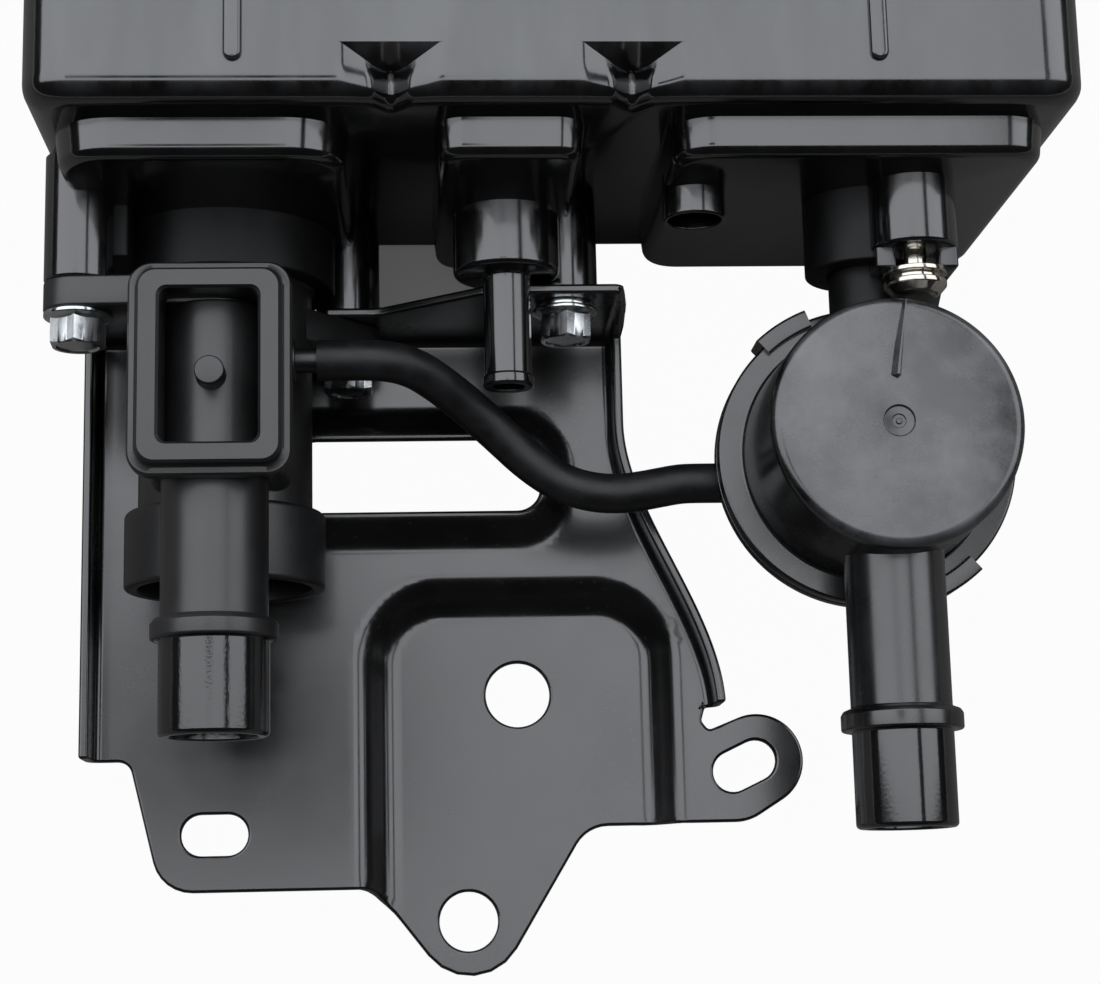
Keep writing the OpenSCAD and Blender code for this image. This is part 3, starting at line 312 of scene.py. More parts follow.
def lathe(profile, at, axis, sides=96, start=0.0, sweep=None):
    """Turned shape: each (radius, height) of the profile becomes a circle round the axis through at;
    with a sweep only that sector is turned."""
    r, h = np.asarray(profile, float).T
    if sweep is None:
        turn = np.linspace(0, 2 * np.pi, sides, endpoint=False)
    else:
        turn = np.radians(start + np.linspace(0, sweep, sides))
    p = at[0] + np.outer(np.cos(turn), r)
    q = at[1] + np.outer(np.sin(turn), r)
    h = np.broadcast_to(h, p.shape)
    order = {"x": (h, p, q), "y": (p, h, q), "z": (p, q, h)}[axis]
    return np.stack(order, axis=2)


def turned(corners, at, axis, sides=96, steps=5):
    """Closed turned solid from a rounded profile whose first and last corners lie on the axis."""
    return surface(lathe(rounded(corners, steps), at, axis, sides), wrap_u=True)


def ring(corners, at, axis, sides=96, steps=5):
    """Closed turned ring from a rounded profile that stays off the axis."""
    return surface(lathe(rounded(corners, steps), at, axis, sides), wrap_u=True, wrap_v=True)


def boss(at, root, tip, r, bore, depth, edge=0.6):
    """Turned boss along -Y with a blind hole in its tip."""
    return turned([(0, root, 0), (r, root, 0), (r, tip, edge), (bore, tip, 0.3), (bore, tip + depth, 0),
                   (0, tip + depth, 0)], at, "y", 64)


def rect_loop(x0, x1, y0, y1, r, per_corner=10):
    """Rounded rectangle as a loop of points, with the same number of points whatever its size."""
    t = np.radians(np.linspace(0, 90, per_corner + 1))
    arc = r * np.stack([np.cos(t), np.sin(t)], axis=1)
    turn = np.array([[0, 1], [-1, 0]])
    loop = []
    for cx, cy in ((x1 - r, y1 - r), (x0 + r, y1 - r), (x0 + r, y0 + r), (x1 - r, y0 + r)):
        loop.append(arc + (cx, cy))
        arc = arc @ turn
    return np.concatenate(loop)


def stack(loops, heights, axis):
    """Loops of (a, b) points, one above the other, as a grid of points along an axis."""
    loops = np.asarray(loops, float)
    h = np.broadcast_to(np.asarray(heights, float)[:, None], loops.shape[:2])
    a, b = loops[..., 0], loops[..., 1]
    return np.stack({"y": (a, h, b), "z": (a, b, h), "x": (h, a, b)}[axis], axis=2)


def plate(x0, x1, y0, y1, r, h0, h1, axis, edge, steps=4, draft=0.0):
    """Rounded plate from h0 to h1 with a rounded edge at h1, closed at both ends towards its middle;
    a draft leans its sides in by that much up to the edge."""
    t = np.radians(np.linspace(0, 90, steps + 1))
    inset = np.concatenate([[0], draft + edge * (1 - np.cos(t))])
    heights = np.concatenate([[h0], h1 - np.sign(h1 - h0) * edge * (1 - np.sin(t))])
    loops = [rect_loop(x0 + d, x1 - d, y0 + d, y1 - d, max(r - d, 0.2)) for d in inset]
    middle = np.broadcast_to([(x0 + x1) / 2, (y0 + y1) / 2], loops[0].shape)
    return surface(stack([middle, *loops, middle], [h0, *heights, h1], axis), wrap_v=True)


def body_loop(inset):
    """Outline of the body in its own section: a rounded rectangle with closely spaced points along
    the front side, so that the valleys can be pressed into it."""
    half, r = body_w / 2 - inset, max(edge_r - inset, 0.3)
    t = np.radians(np.linspace(0, 90, 9))
    arc = r * np.stack([np.cos(t), np.sin(t)], axis=1)
    low, high = inset, body_t - inset
    front = np.linspace(half - r, -half + r, front_points)
    back = np.linspace(-half + r, half - r, back_points)
    right_up = arc + (half - r, high - r)
    left_up = arc[::-1] * (-1, 1) + (-half + r, high - r)
    left_low = -arc + (-half + r, low + r)
    right_low = arc[::-1] * (1, -1) + (half - r, low + r)
    front_line = np.stack([front, np.full(front_points, high)], axis=1)[1:-1]
    back_line = np.stack([back, np.full(back_points, low)], axis=1)[1:-1]
    return np.concatenate([right_up, front_line, left_up, left_low, back_line, right_low])


def valley_depth(x, y):
    """Depth of the valleys: two gentle flanks that fade out towards the port end, with a steep gully
    between them. The average over a short stretch rounds the bends."""
    soft = np.linspace(-0.7, 0.7, 9)
    off = np.abs(x[:, None] - np.array(dividers)).min(axis=1)
    off = np.abs(off[:, None] + soft[None, :])
    fade = min(max(y / 8.0, 0.2), 1.0)
    flank = 0.42 * fade * (valley_w - np.clip(off, crease_w, valley_w))
    gully = 1.15 * (crease_w - np.clip(off, 0.5, crease_w))
    return (flank + gully).mean(axis=1)


def body_station(y, inset, valley, scoop=0.0):
    """Body outline at y, its front lowered into the valleys. For the foot of a valley's scooped end wall
    the line bows towards the port end."""
    loop = body_loop(inset)
    on_front = loop[:, 1] > body_t - inset - 0.01
    loop[:, 1] -= np.where(on_front, valley * valley_depth(loop[:, 0], y), 0.0)
    off = np.abs(loop[:, :1] - np.array(dividers)).min(axis=1)
    bow = np.where(on_front, scoop * scoop_run * np.clip((valley_w - off) / 6.0, 0, 1), 0.0)
    return np.stack([loop[:, 0], y - bow, loop[:, 1]], axis=1)


turn = np.radians(np.linspace(0, 90, 9))
stations = [body_station(end_r * (1 - np.sin(a)), end_r * (1 - np.cos(a)), 1.0) for a in turn[::-1]]
stations += [body_station(y, 0.0, 1.0) for y in np.linspace(end_r, valley_l - scoop_run, 5)[1:-1]]
stations += [body_station(valley_l - 0.02, 0.0, 1.0, scoop=1.0)]
stations += [body_station(y, 0.0, 0.0) for y in (valley_l, valley_l + 0.4, 60.0, 120.0, case_l)]
stations += [body_station(y, wall, 0.0) for y in (case_l, 90.0, 20.0)]
stations += [body_station(end_wall, wall + 12, 0.0)]
middle = np.array([0.0, 0.0, body_t / 2])
first = np.broadcast_to(middle, stations[0].shape)
last = np.broadcast_to(middle + (0, end_wall, 0), stations[0].shape)
shell = surface(np.stack([first, *stations, last]), wrap_v=True)
pads = [plate(x0, x1, pad_low, pad_high, r, 1.0, pad_face, "y", pad_edge, steps=8, draft=pad_draft)
        for x0, x1, r in ((-96, -39.5, 12), (-23.5, 5.5, 6), (21.5, 95, 9))]
gusset = plate(-91.0, -84.0, 34.0, 56.0, 1.0, 1.0, -18.0, "y", 0.5)
ribs = [plate(x - rib_w / 2, x + rib_w / 2, 7.0, case_l - 1, rib_w / 2, body_t - 1, body_t + rib_high,
              "z", 0.9) for x in (-60.5, 59.7)]
bosses = [boss(at, 1, tip, boss_r, boss_bore, boss_depth)
          for at, tip in ((boss_left, -24.5), (boss_right, -21.5), (boss_bracket, -21.5))]
screw_boss = boss((screw_x, screw_z), 1, -21, 8.7, 4.0, 15, 0.8)
sockets = [boss((vent_x, vent_z), 1, -19, 22.5, 18.65, 10),
           boss((round_x, neck_z), 1, -22.5, 12.4, 7.95, 13.5)]
stub = boss(stub_at, 1, -13, 6.35, 5.35, 16, 0.5)
purge = turned([(0, 1, 0), (10.8, 1, 0), (10.8, -20.5, 1.2), (4.85, -20.5, 0.6), (4.85, -41.1, 0.2),
                (5.15, -41.5, 0.2), (5.15, -43.5, 0.5), (3.25, -43.5, 0.3), (3.25, -3, 0), (0, -3, 0)],
               purge_at, "y", 72)
walls = [plate(x - wall / 2, x + wall / 2, 2, body_t - 14, 0.2, end_wall - 1, 161.0, "y", 0.1)
         for x in dividers]
# The case's top faces, from Z 94 up, take a patchy lighter colour: partly haze, partly a painted sheen for
# the overhead lamp's reflection.
case_plastic = finish("case_plastic", (0.003, 0.003, 0.0032), (0.007, 0.007, 0.0075), 0.17, spread=0.06,
                      patch=42, stretch=(2.4, 0.6, 2.4), grain=1400, bump=0.02, specular=1.0, coat=0.85,
                      coat_rough=0.10, coat_ior=1.58, haze_and_painted_sheen=("Z", 94.0, 95.9, (0.040, 0.040, 0.042)))
dull_plastic = finish("dull_plastic", (0.003, 0.003, 0.0033), (0.010, 0.010, 0.0105), 0.46, spread=0.05,
                      patch=80, grain=1600, bump=0.05, specular=0.35)
piece("case_moulding", [shell, *pads, *ribs, *bosses, screw_boss, stub, purge, *walls], case_plastic,
      ("case",))
piece("case_sockets", [*sockets, gusset], dull_plastic)

# Rear cover: a shallow moulded lid of the same nylon, welded to the open end of the case.
# Its outer edge is rounded all round.
cover_l = 12.0
lid = [body_station(case_l + cover_l - end_r * (1 - np.sin(a)), end_r * (1 - np.cos(a)), 0.0) for a in turn]
lid_inside = [body_station(case_l, wall, 0.0), body_station(case_l + cover_l - wall, wall + 1.5, 0.0)]
lid_rim = body_station(case_l, 0.0, 0.0)
lid_end = np.broadcast_to(middle + (0, case_l + cover_l, 0), lid[0].shape)
lid_floor = np.broadcast_to(middle + (0, case_l + cover_l - wall, 0), lid[0].shape)
lid_shell = surface(np.stack([lid_floor, *lid_inside[::-1], lid_rim, *lid, lid_end]), wrap_v=True)
piece("rear_cover_lid", [lid_shell], case_plastic, ("rear_cover",))

# Vent valve: one charcoal-black moulding with a fine matt grain.
# A can plugged into the case, two ears for its bolts, the air tube and an open frame with a peg.
can_r = 17.7
tube_z = 57.0
ear_face = -30.5
nipple_at = (-38.6, 52)
vent_at = (vent_x, vent_z)


def hull_loop(c0, r0, c1, r1, points=96):
    """Outline round two circles: for each direction the point of the circle that reaches furthest."""
    t = np.linspace(0, 2 * np.pi, points, endpoint=False)
    n = np.stack([np.cos(t), np.sin(t)], axis=1)
    c0, c1 = np.asarray(c0, float), np.asarray(c1, float)
    far = (n @ c0 + r0 > n @ c1 + r1)[:, None]
    return np.where(far, c0 + r0 * n, c1 + r1 * n)


def ear(at, r, root, root_r, y0, y1, edge=0.5):
    """Flat ear along Y round two circles, with rounded edges on both faces."""
    t = np.radians(np.linspace(0, 90, 4))
    inset = np.concatenate([edge * (1 - np.sin(t)), edge * (1 - np.cos(t))])
    heights = np.concatenate([y0 - edge * (1 - np.cos(t)), y1 + edge * (1 - np.sin(t))])
    loops = [hull_loop(at, r - d, root, root_r - d) for d in inset]
    centre = np.broadcast_to((np.asarray(at) + np.asarray(root)) / 2, loops[0].shape)
    return surface(stack([centre, *loops, centre], [y0, *heights, y1], "y"), wrap_v=True)


def frame_ring(stations):
    """Open frame: rounded rectangles (half width, top, bottom, corner radius, height) one after another,
    from the outside over the front face and down the pocket, closed into a ring."""
    loops = [rect_loop(vent_x - w, vent_x + w, y0, y1, r) for w, y1, y0, r, _ in stations]
    return surface(stack(loops, [s[4] for s in stations], "z"), wrap_u=True, wrap_v=True)


can = ring([(15.2, -9, 0), (18.5, -9, 0.4), (18.5, -19.2, 0), (can_r, -19.8, 0), (can_r, -70, 0.4),
            (15.2, -70, 0.2)], vent_at, "y", 128)
guide = ring([(2.7, -28, 0), (15.5, -28, 0), (15.5, -31, 0), (2.7, -31, 0)], vent_at, "y")
seat = ring([(8, -44, 0), (15.5, -44, 0), (15.5, -46, 0), (8, -46, 0)], vent_at, "y")
air_tube = ring([(8.4, -30, 0), (10.4, -30, 0.5), (10.4, -90.8, 0.3), (11.7, -91.2, 0.5), (12.3, -92, 0.3),
                 (12.3, -95, 0.6), (10.65, -95.2, 0.3), (10.65, -113.5, 0.9), (8.4, -113.5, 0.4)],
                (vent_x, tube_z), "y", 128)
tube_plug = turned([(0, -29.6, 0), (8.6, -29.6, 0), (8.6, -31, 0), (0, -31, 0)], (vent_x, tube_z), "y")
open_frame = frame_ring([
    (14.0, -25.3, -63.8, 3.4, 43.0), (14.0, -25.3, -63.8, 3.4, 66.8), (15.6, -23.7, -65.4, 4.6, 67.6),
    (15.6, -23.7, -65.4, 4.6, 70.4), (15.2, -24.1, -65.0, 4.3, 71.0), (14.2, -25.1, -64.0, 3.6, 71.2),
    (13.8, -25.5, -63.6, 3.4, 71.6), (13.7, -25.6, -63.5, 3.4, 73.4), (13.2, -26.1, -63.0, 3.2, 74.0),
    (9.9, -29.1, -60.0, 2.0, 74.0), (9.35, -29.6, -59.5, 1.8, 73.4), (9.25, -29.7, -59.4, 1.8, 58.0),
    (11.0, -28.0, -61.0, 2.0, 50.0)])
peg = turned([(0, 60, 0), (3.1, 60, 0), (2.85, 72, 0.45), (0, 72, 0)], (vent_x, -45.2), "z", 48)
ears = [ear(boss_left, boss_r, (vent_x, tube_z), 9.4, -24.5, ear_face),
        ear(boss_right, boss_r, vent_at, 16.2, -23.5, ear_face)]
nipple = ring([(1.2, -55, 0), (2.5, -55, 0), (2.5, -38, 0.4), (1.2, -38, 0.2)], nipple_at, "x", 40)
nipple_root = turned([(0, -54, 0), (4.2, -54, 0), (4.2, -51.2, 0.5), (0, -51.2, 0)], nipple_at, "x", 40)
vent_plastic = finish("vent_plastic", (0.005, 0.005, 0.0053), (0.010, 0.010, 0.0105), 0.42, spread=0.05,
                      patch=60, grain=1800, bump=0.08, specular=1.0, coat=0.2, coat_rough=0.2, dust=0.04,
                      polish=(-95.1, 0.10))
piece("vent_valve_moulding",
      [can, guide, seat, air_tube, tube_plug, open_frame, peg, *ears, nipple, nipple_root],
      vent_plastic, ("vent_valve_body",))

# Vent cap: a plain skirt of the same plastic, pushed over the end of the can.
# A web inside it holds the foam that keeps dust out.
skirt = ring([(17.9, -66, 0), (20.4, -66, 1.2), (20.4, -81.6, 0.8), (17.6, -81.6, 0.5), (17.6, -72.5, 0),
              (17.9, -72, 0)], vent_at, "y", 128)
web = turned([(0, -70.2, 0), (18.2, -70.2, 0), (18.2, -72.2, 0), (0, -72.2, 0)], vent_at, "y")
vent_cap_plastic = finish("vent_cap_plastic", (0.008, 0.008, 0.0085), (0.014, 0.014, 0.015), 0.42,
                          spread=0.06, patch=70, grain=1500, bump=0.08, specular=0.7, coat=0.1,
                          coat_rough=0.3)
piece("vent_cap_skirt", [skirt, web], vent_cap_plastic, ("vent_cap",))

# Diaphragm valve: a turned-looking pair of black mouldings, cap over housing, held by two snap clips.
# The cap carries the outlet tube, the neck that plugs into the case and the forked yoke for its screw.
seam_z = 43.5
face_z = 78.0
outlet_x, outlet_z = 64.7, 62.0
valve_at = (round_x, round_y)
flange_r = 30.5
yoke_half, yoke_gap, yoke_back, yoke_face = 8.2, 4.3, -21.05, -25
clip_sweep = 21.0


def closed_sweep(grid):
    """Section carried along a path: the first and last sections shrink to their middles, so that both
    ends are closed."""
    ends = [np.broadcast_to(grid[i].mean(axis=0), grid[i].shape) for i in (0, -1)]
    return surface(np.stack([ends[0], *grid, ends[1]]), wrap_v=True)


cap_shell = turned([(0, face_z - 0.5, 0), (0.5, face_z - 0.5, 0.1), (0.6, face_z - 0.8, 0.1),
                    (1.3, face_z - 0.8, 0.1), (1.4, face_z - 0.55, 0.1), (2.9, face_z - 0.5, 0.2),
                    (3.1, face_z, 0.1), (24.4, face_z, 2.2), (25.4, seam_z + 3, 0.8),
                    (flange_r, seam_z + 3, 0.7), (flange_r, seam_z, 0.3), (23.2, seam_z, 0),
                    (22.2, face_z - 2.2, 1), (0, face_z - 2.2, 0)], valve_at, "z", 144)
outlet = ring([(7.7, -70, 0), (9.7, -70, 0), (9.7, -110.6, 0.3), (11.2, -111.2, 0.4), (11.7, -112, 0.3),
               (11.7, -115, 0.5), (9.7, -115.2, 0.3), (9.7, -133.5, 0.9), (7.7, -133.5, 0.4)],
              (outlet_x, outlet_z), "y", 112)
neck = ring([(5.2, -9, 0), (7.8, -9, 0.5), (7.8, -42, 0), (5.2, -42, 0)], (round_x, neck_z), "y", 72)
rib_line = np.array([(round_x, -49.6), (round_x, -49.0), (round_x + 0.4, -46.0), (round_x + 2.2, -34.4)])
rib_half = np.array([0.1, 1.5, 1.4, 0.5])
rib_over = np.array([0.0, 1.2, 1.3, 1.3])
rib_side = np.array([(-1, -0.3), (-0.15, 1), (0.15, 1), (0.6, -0.3)])
rib_grid = np.stack([rib_line[:, None, 0] + rib_half[:, None] * rib_side[None, :, 0],
                     np.repeat(rib_line[:, None, 1], 4, axis=1),
                     face_z + rib_over[:, None] * rib_side[None, :, 1]], axis=2)
face_rib = closed_sweep(rib_grid)
yoke = [plate(screw_x + x0, screw_x + x1, low, high, 0.8, yoke_back, yoke_face, "y", 0.5)
        for x0, x1, low, high in ((-yoke_half, -yoke_gap, 56, screw_z + 3.4),
                                  (yoke_gap, yoke_half, 56, screw_z + 3.4), (-8, 8, 54, screw_z - 3.4))]
web_path = rounded([(screw_x - 8, -23, 0.5), (round_x - 11, -39, 0.5), (round_x + 11, -39, 0.5),
                    (screw_x + 8, -23, 0.5)])
web_middle = np.broadcast_to(web_path.mean(axis=0), web_path.shape)
yoke_web = surface(stack([web_middle, web_path, web_path, web_path * 0.97 + web_middle * 0.03, web_middle],
                         [50, 50, 58.4, 58.8, 58.8], "z"), wrap_v=True)
# The cap's face, from Z 76.5 up, takes a patchy lighter colour: a painted sheen for the overhead lamp's
# reflection.
round_valve_plastic = finish("round_valve_plastic", (0.003, 0.003, 0.0032), (0.008, 0.008, 0.0085), 0.27,
                             spread=0.08, patch=60, grain=1300, bump=0.02, specular=1.0, coat=0.6,
                             coat_rough=0.18, haze_and_painted_sheen=("Z", 76.5, 77.9, (0.110, 0.110, 0.116)),
                             polish=(-115.1, 0.10))
piece("diaphragm_cap_moulding", [cap_shell, outlet, face_rib, *yoke], round_valve_plastic,
      ("diaphragm_cap",))
piece("diaphragm_cap_neck", [neck, yoke_web], dull_plastic)
bowl = turned([(0, 21, 0), (25, 21, 3.0), (26, 30, 0), (26, 39.5, 0.5), (flange_r, 39.5, 0.6),
               (flange_r, seam_z - 1, 0.3), (23.5, seam_z - 1, 0), (23.5, 24, 1), (0, 24, 0)],
              valve_at, "z", 144)
clip_section = rounded([(30.3, 38.6, 0.2), (32.4, 38.6, 0.6), (32.4, 47.8, 0.6), (28.6, 47.8, 0.5),
                        (28.6, 46.6, 0.2), (30.8, 46.6, 0)])


def clip(angle):
    """Snap clip: a hooked section turned through a short arc round the valve, closed at both ends."""
    return closed_sweep(lathe(clip_section, valve_at, "z", 14, angle - clip_sweep / 2, clip_sweep))


hose_nipple = ring([(1.2, 30, 0.2), (2.5, 30, 0.4), (2.5, 40.5, 0), (1.2, 40.5, 0)], (-60.9, 34.5), "x",
                   40)
piece("diaphragm_housing_moulding", [bowl, clip(122.0), clip(302.0), hose_nipple], round_valve_plastic,
      ("diaphragm_housing",))

# Bracket: one pressed steel sheet, dip-coated black.
# It has a sunk panel, a raised lip round a window, turned-up rims, an upright flange, holes and slots.
sheet_t = 2.0
sheet_top = 8.0
rim_x = -97.8
upright_y = -21.5
bend_r = 1.6
bend_room = bend_r + sheet_t
left_x, top_y = rim_x + bend_room, upright_y - bend_room
rim_top, rim_end = 18.0, -114.0
panel, panel_r, panel_deep, panel_slope = (-39.6, 27.5, -200.0, -76.9), 17.0, 6.0, 5.6
window, window_r = (-54.0, -0.9, -61.8, -46.2), 5.0
lip_high, lip_w, lip_slope, lip_flat = 4.0, 6.9, 5.2, 1.15
upright_end, upright_low, upright_high = -47.5, 30.0, 47.0
tab_at, tab_r = (44.5, -116.0), 9.9
slot_l, slot_w = 14, 8.6
point_gap = 1.5


def edge_at(reach):
    """Right edge of the sheet: straight beside the body and flaring out in an S further down."""
    s = np.clip((reach - 44.0) / 62.0, 0, 1)
    return 17.0 + 20.0 * s * s * (3 - 2 * s)


def circle(x, y, r):
    """Points of a circle."""
    t = np.linspace(0, 2 * np.pi, 64, endpoint=False)
    return np.stack([x + r * np.cos(t), y + r * np.sin(t)], axis=1)


def slot_loop(x, y, angle):
    """Points of a slot with round ends, turned by an angle."""
    t = np.radians(np.linspace(-90, 90, 16))
    end = np.stack([(slot_l - slot_w) / 2 + slot_w / 2 * np.cos(t), slot_w / 2 * np.sin(t)], axis=1)
    loop = np.concatenate([end, -end])
    c, s = math.cos(math.radians(angle)), math.sin(math.radians(angle))
    return loop @ np.array([[c, s], [-s, c]]) + (x, y)


def box_distance(p, x0, x1, y0, y1, r):
    """Signed distance from points to a rounded rectangle: negative inside."""
    q = np.abs(p - ((x0 + x1) / 2, (y0 + y1) / 2)) - ((x1 - x0) / 2 - r, (y1 - y0) / 2 - r)
    return np.linalg.norm(np.maximum(q, 0), axis=1) + np.minimum(q.max(axis=1), 0) - r


def ramp(d, run, soft):
    """Slope from 0 to 1 over a run of distance, with both of its bends rounded."""
    t = np.linspace(-1, 1, 9)[None, :] * soft
    return np.clip((d[:, None] + t) / run, 0, 1).mean(axis=1)


def sheet_height(p):
    """Height of the sheet's top: level, sunk inside the panel, raised by the lip round the window."""
    sunk = ramp(-box_distance(p, *panel, panel_r), panel_slope, 0.7)
    lip = ramp(lip_w - box_distance(p, *window, window_r), lip_slope, 0.6)
    return sheet_top - panel_deep * sunk + lip_high * lip


reach = np.arange(top_y, -105.0, -point_gap)
right_edge = np.stack([edge_at(-reach) - bend_room, reach], axis=1)
slit = rounded([(33.4, -105.3, 0), (32.8, -107.4, 1.0), (34.3, -109.4, 1.2), (40.8, -106.8, 0)])[:-1]
tab_turn = np.radians(np.linspace(112, -58, 30))
tab_end = tab_at + tab_r * np.stack([np.cos(tab_turn), np.sin(tab_turn)], axis=1)
foot = rounded([(49.75, -124.4, 0), (42.3, -129.0, 10), (8.2, -129.0, 8), (-16.0, -168.5, 11.5),
                (-37.1, -141.5, 6), (-81.8, -141.5, 8.5), (-88.6, rim_end, 3), (left_x, rim_end, 0)])[1:]
left_y = np.append(np.arange(rim_end + 2, top_y, 2.0), top_y)
left_edge = np.stack([np.full(len(left_y), left_x), left_y], axis=1)
top_x = np.arange(left_x + 2, right_edge[0, 0] - 1, 2.0)
top_edge = np.stack([top_x, np.full(len(top_x), top_y)], axis=1)
outline = np.concatenate([right_edge, slit, tab_end, foot, left_edge, top_edge])
openings = [circle(-6.2, -100.6, 6.9), circle(-17.5, -148.5, 6.2), slot_loop(-70.6, -129.6, 0),
            slot_loop(41.7, -117.2, 25), rect_loop(*window, window_r, 8)]


def divided(loop, longest):
    """Loop with each side that is longer than the longest allowed cut into equal shorter ones."""
    side = np.roll(loop, -1, axis=0) - loop
    cuts = np.maximum(1, np.ceil(np.linalg.norm(side, axis=1) / longest)).astype(int)
    of_side = np.repeat(np.arange(len(loop)), cuts)
    nth = np.arange(cuts.sum()) - np.repeat(np.cumsum(cuts) - cuts, cuts)
    return loop[of_side] + (nth / cuts[of_side])[:, None] * side[of_side]


def cut_sheet(outer, holes, creases, longest, clear):
    """Flat sheet cut to an outline with holes: the cut edges, the creases and a grid of points that keeps
    clear of both, joined by triangles."""
    loops = [divided(loop, longest) for loop in (outer, *holes, *creases)]
    gx, gy = np.meshgrid(np.arange(-97, 58, point_gap), np.arange(-162, -25, point_gap))
    inside = np.stack([gx.ravel(), gy.ravel()], axis=1)
    to_edge = np.linalg.norm(inside[:, None, :] - np.concatenate(loops)[None, :, :], axis=2).min(axis=1)
    points = np.concatenate([*loops, inside[to_edge > clear]])
    starts = np.cumsum([0] + [len(loop) for loop in loops])
    edges = [(s + i, s + (i + 1) % len(loop)) for loop, s in zip(loops, starts) for i in range(len(loop))]
    xy, _, triangles, *_ = delaunay_2d_cdt([Vector(p) for p in points.tolist()], edges, [], 0, 1e-5)
    xy = np.array([tuple(p) for p in xy])
    triangles = np.array(triangles)
    middle_of = xy[triangles].mean(axis=1)
    keep = in_loop(middle_of, outer)
    for hole in holes:
        keep &= ~in_loop(middle_of, hole)
    return xy, triangles[keep]


def in_loop(p, loop):
    """Whether points lie inside a loop: a ray to the right crosses it an odd number of times."""
    a, b = loop, np.roll(loop, -1, axis=0)
    above = (a[None, :, 1] > p[:, None, 1]) != (b[None, :, 1] > p[:, None, 1])
    slope = (b[:, 0] - a[:, 0]) / np.where(b[:, 1] == a[:, 1], 1e-9, b[:, 1] - a[:, 1])
    x = a[None, :, 0] + (p[:, None, 1] - a[None, :, 1]) * slope[None, :]
    return (above & (p[:, None, 0] < x)).sum(axis=1) % 2 == 1


lip_crease = rect_loop(window[0] - lip_flat, window[1] + lip_flat, window[2] - lip_flat,
                       window[3] + lip_flat, window_r + lip_flat, 8)
xy, sheet_faces = cut_sheet(outline, openings, [lip_crease], longest=2.05, clear=1.4)
flat = (np.column_stack([xy, sheet_height(xy)]), sheet_faces)
bend = np.radians(np.linspace(0, 90, 9))
leg = np.linspace(0, 1, 6)[1:]
bend_up = bend_r * (1 - np.cos(bend))
rim_out = np.concatenate([bend_r * np.sin(bend), np.full(len(leg), bend_r)])


def rim_up(rise):
    """Heights of a rim's bend and leg above the sheet, one row for each rise of its top."""
    bent = np.broadcast_to(bend_up, (len(rise), len(bend_up)))
    return np.concatenate([bent, bend_r + np.outer(rise - bend_r, leg)], axis=1)


def rim(line, outward, top):
    """Turned-up rim along a line on the sheet: a quarter bend outwards and a straight leg up to its top."""
    base = sheet_height(line)
    xy = line[:, None, :] + rim_out[None, :, None] * np.asarray(outward)[None, None, :]
    return surface(np.concatenate([xy, (base[:, None] + rim_up(top - base))[..., None]], axis=2))


def corner(at, start, low, high):
    """Corner between two rims: the same bend and leg turned round a point from a start angle to +Y,
    rising as it turns."""
    t = np.radians(np.linspace(0, 90, 13))
    top = low + (high - low) * np.clip(np.degrees(t) / 60, 0, 1) ** 0.5
    x = at[0] + math.cos(math.radians(start)) * np.outer(np.cos(t), rim_out)
    y = at[1] + np.outer(np.sin(t), rim_out)
    return surface(np.stack([x, y, sheet_top + rim_up(top - sheet_top)], axis=2))


left_line = np.concatenate([foot[-1:], left_edge])
top_line = np.concatenate([left_edge[-1:], top_edge, right_edge[:1]])
upright_line = top_line[top_line[:, 0] > upright_end]
upright_top = upright_low + (upright_high - upright_low) * np.clip((upright_line[:, 0] + 35.0) / 23.0, 0, 1)
side_tab_line = top_line[top_line[:, 0] < -85.0]
rims = [rim(left_line, (-1, 0), rim_top), rim(right_edge, (1, 0), rim_top),
        rim(upright_line, (0, 1), upright_top), corner(right_edge[0], 0, rim_top, upright_high),
        rim(side_tab_line, (0, 1), upright_low), corner(left_line[-1], 180, rim_top, upright_low)]
bracket_coat = finish("bracket_coat", (0.003, 0.003, 0.0032), (0.012, 0.012, 0.0126), 0.24, spread=0.07,
                      patch=30, grain=1500, bump=0.02, specular=1.0, coat=0.85, coat_rough=0.15, dust=0.10,
                      dust_size=420)
bracket = piece("bracket_sheet", [flat, *rims], bracket_coat, ("bracket",), sharp=40)
thick = bracket.modifiers.new("thickness", "SOLIDIFY")
thick.thickness = sheet_t * 0.001
thick.offset = -1.0
rounding = bracket.modifiers.new("edges", "BEVEL")
rounding.width = 0.0007
rounding.segments = 3
rounding.use_clamp_overlap = False
rounding.limit_method = "ANGLE"
rounding.angle_limit = math.radians(55)
rounding.harden_normals = True
pressed = bpy.data.meshes.new_from_object(bracket.evaluated_get(bpy.context.evaluated_depsgraph_get()))
bracket.modifiers.clear()
bracket.data = pressed

# Bolts: zinc-plated steel hexagon bolts with a forged flange, M6 with 10 mm across the flats.
# Two hold the ears of the vent valve and one, on a washer, holds the upright flange of the bracket.
across_flats = 10.0
washer_face = -24.7


def hex_head(at, y0, y1, points=72):
    """Hexagon along -Y: the distance to the flat grows with the turn from its middle, and the tip is
    chamfered by a cone."""
    t = np.linspace(0, 2 * np.pi, points, endpoint=False)
    flat_turn = (t + np.pi / 6) % (np.pi / 3) - np.pi / 6
    r = across_flats / 2 / np.cos(flat_turn)
    r_tip = np.minimum(r, across_flats / 2 * 0.98)
    radii = np.stack([0 * r, r, r, r_tip, 0.86 * r_tip, 0.8 * r_tip, 0 * r])
    levels = np.array([y0, y0, y1 + 0.2, y1, y1, y1 + 0.3, y1 + 0.3])
    heights = np.repeat(levels[:, None], points, axis=1)
    heights[2] += (r - r_tip) * 0.5
    p, q = at[0] + radii * np.cos(t), at[1] + radii * np.sin(t)
    return surface(np.stack([p, heights, q], axis=2), wrap_v=True)


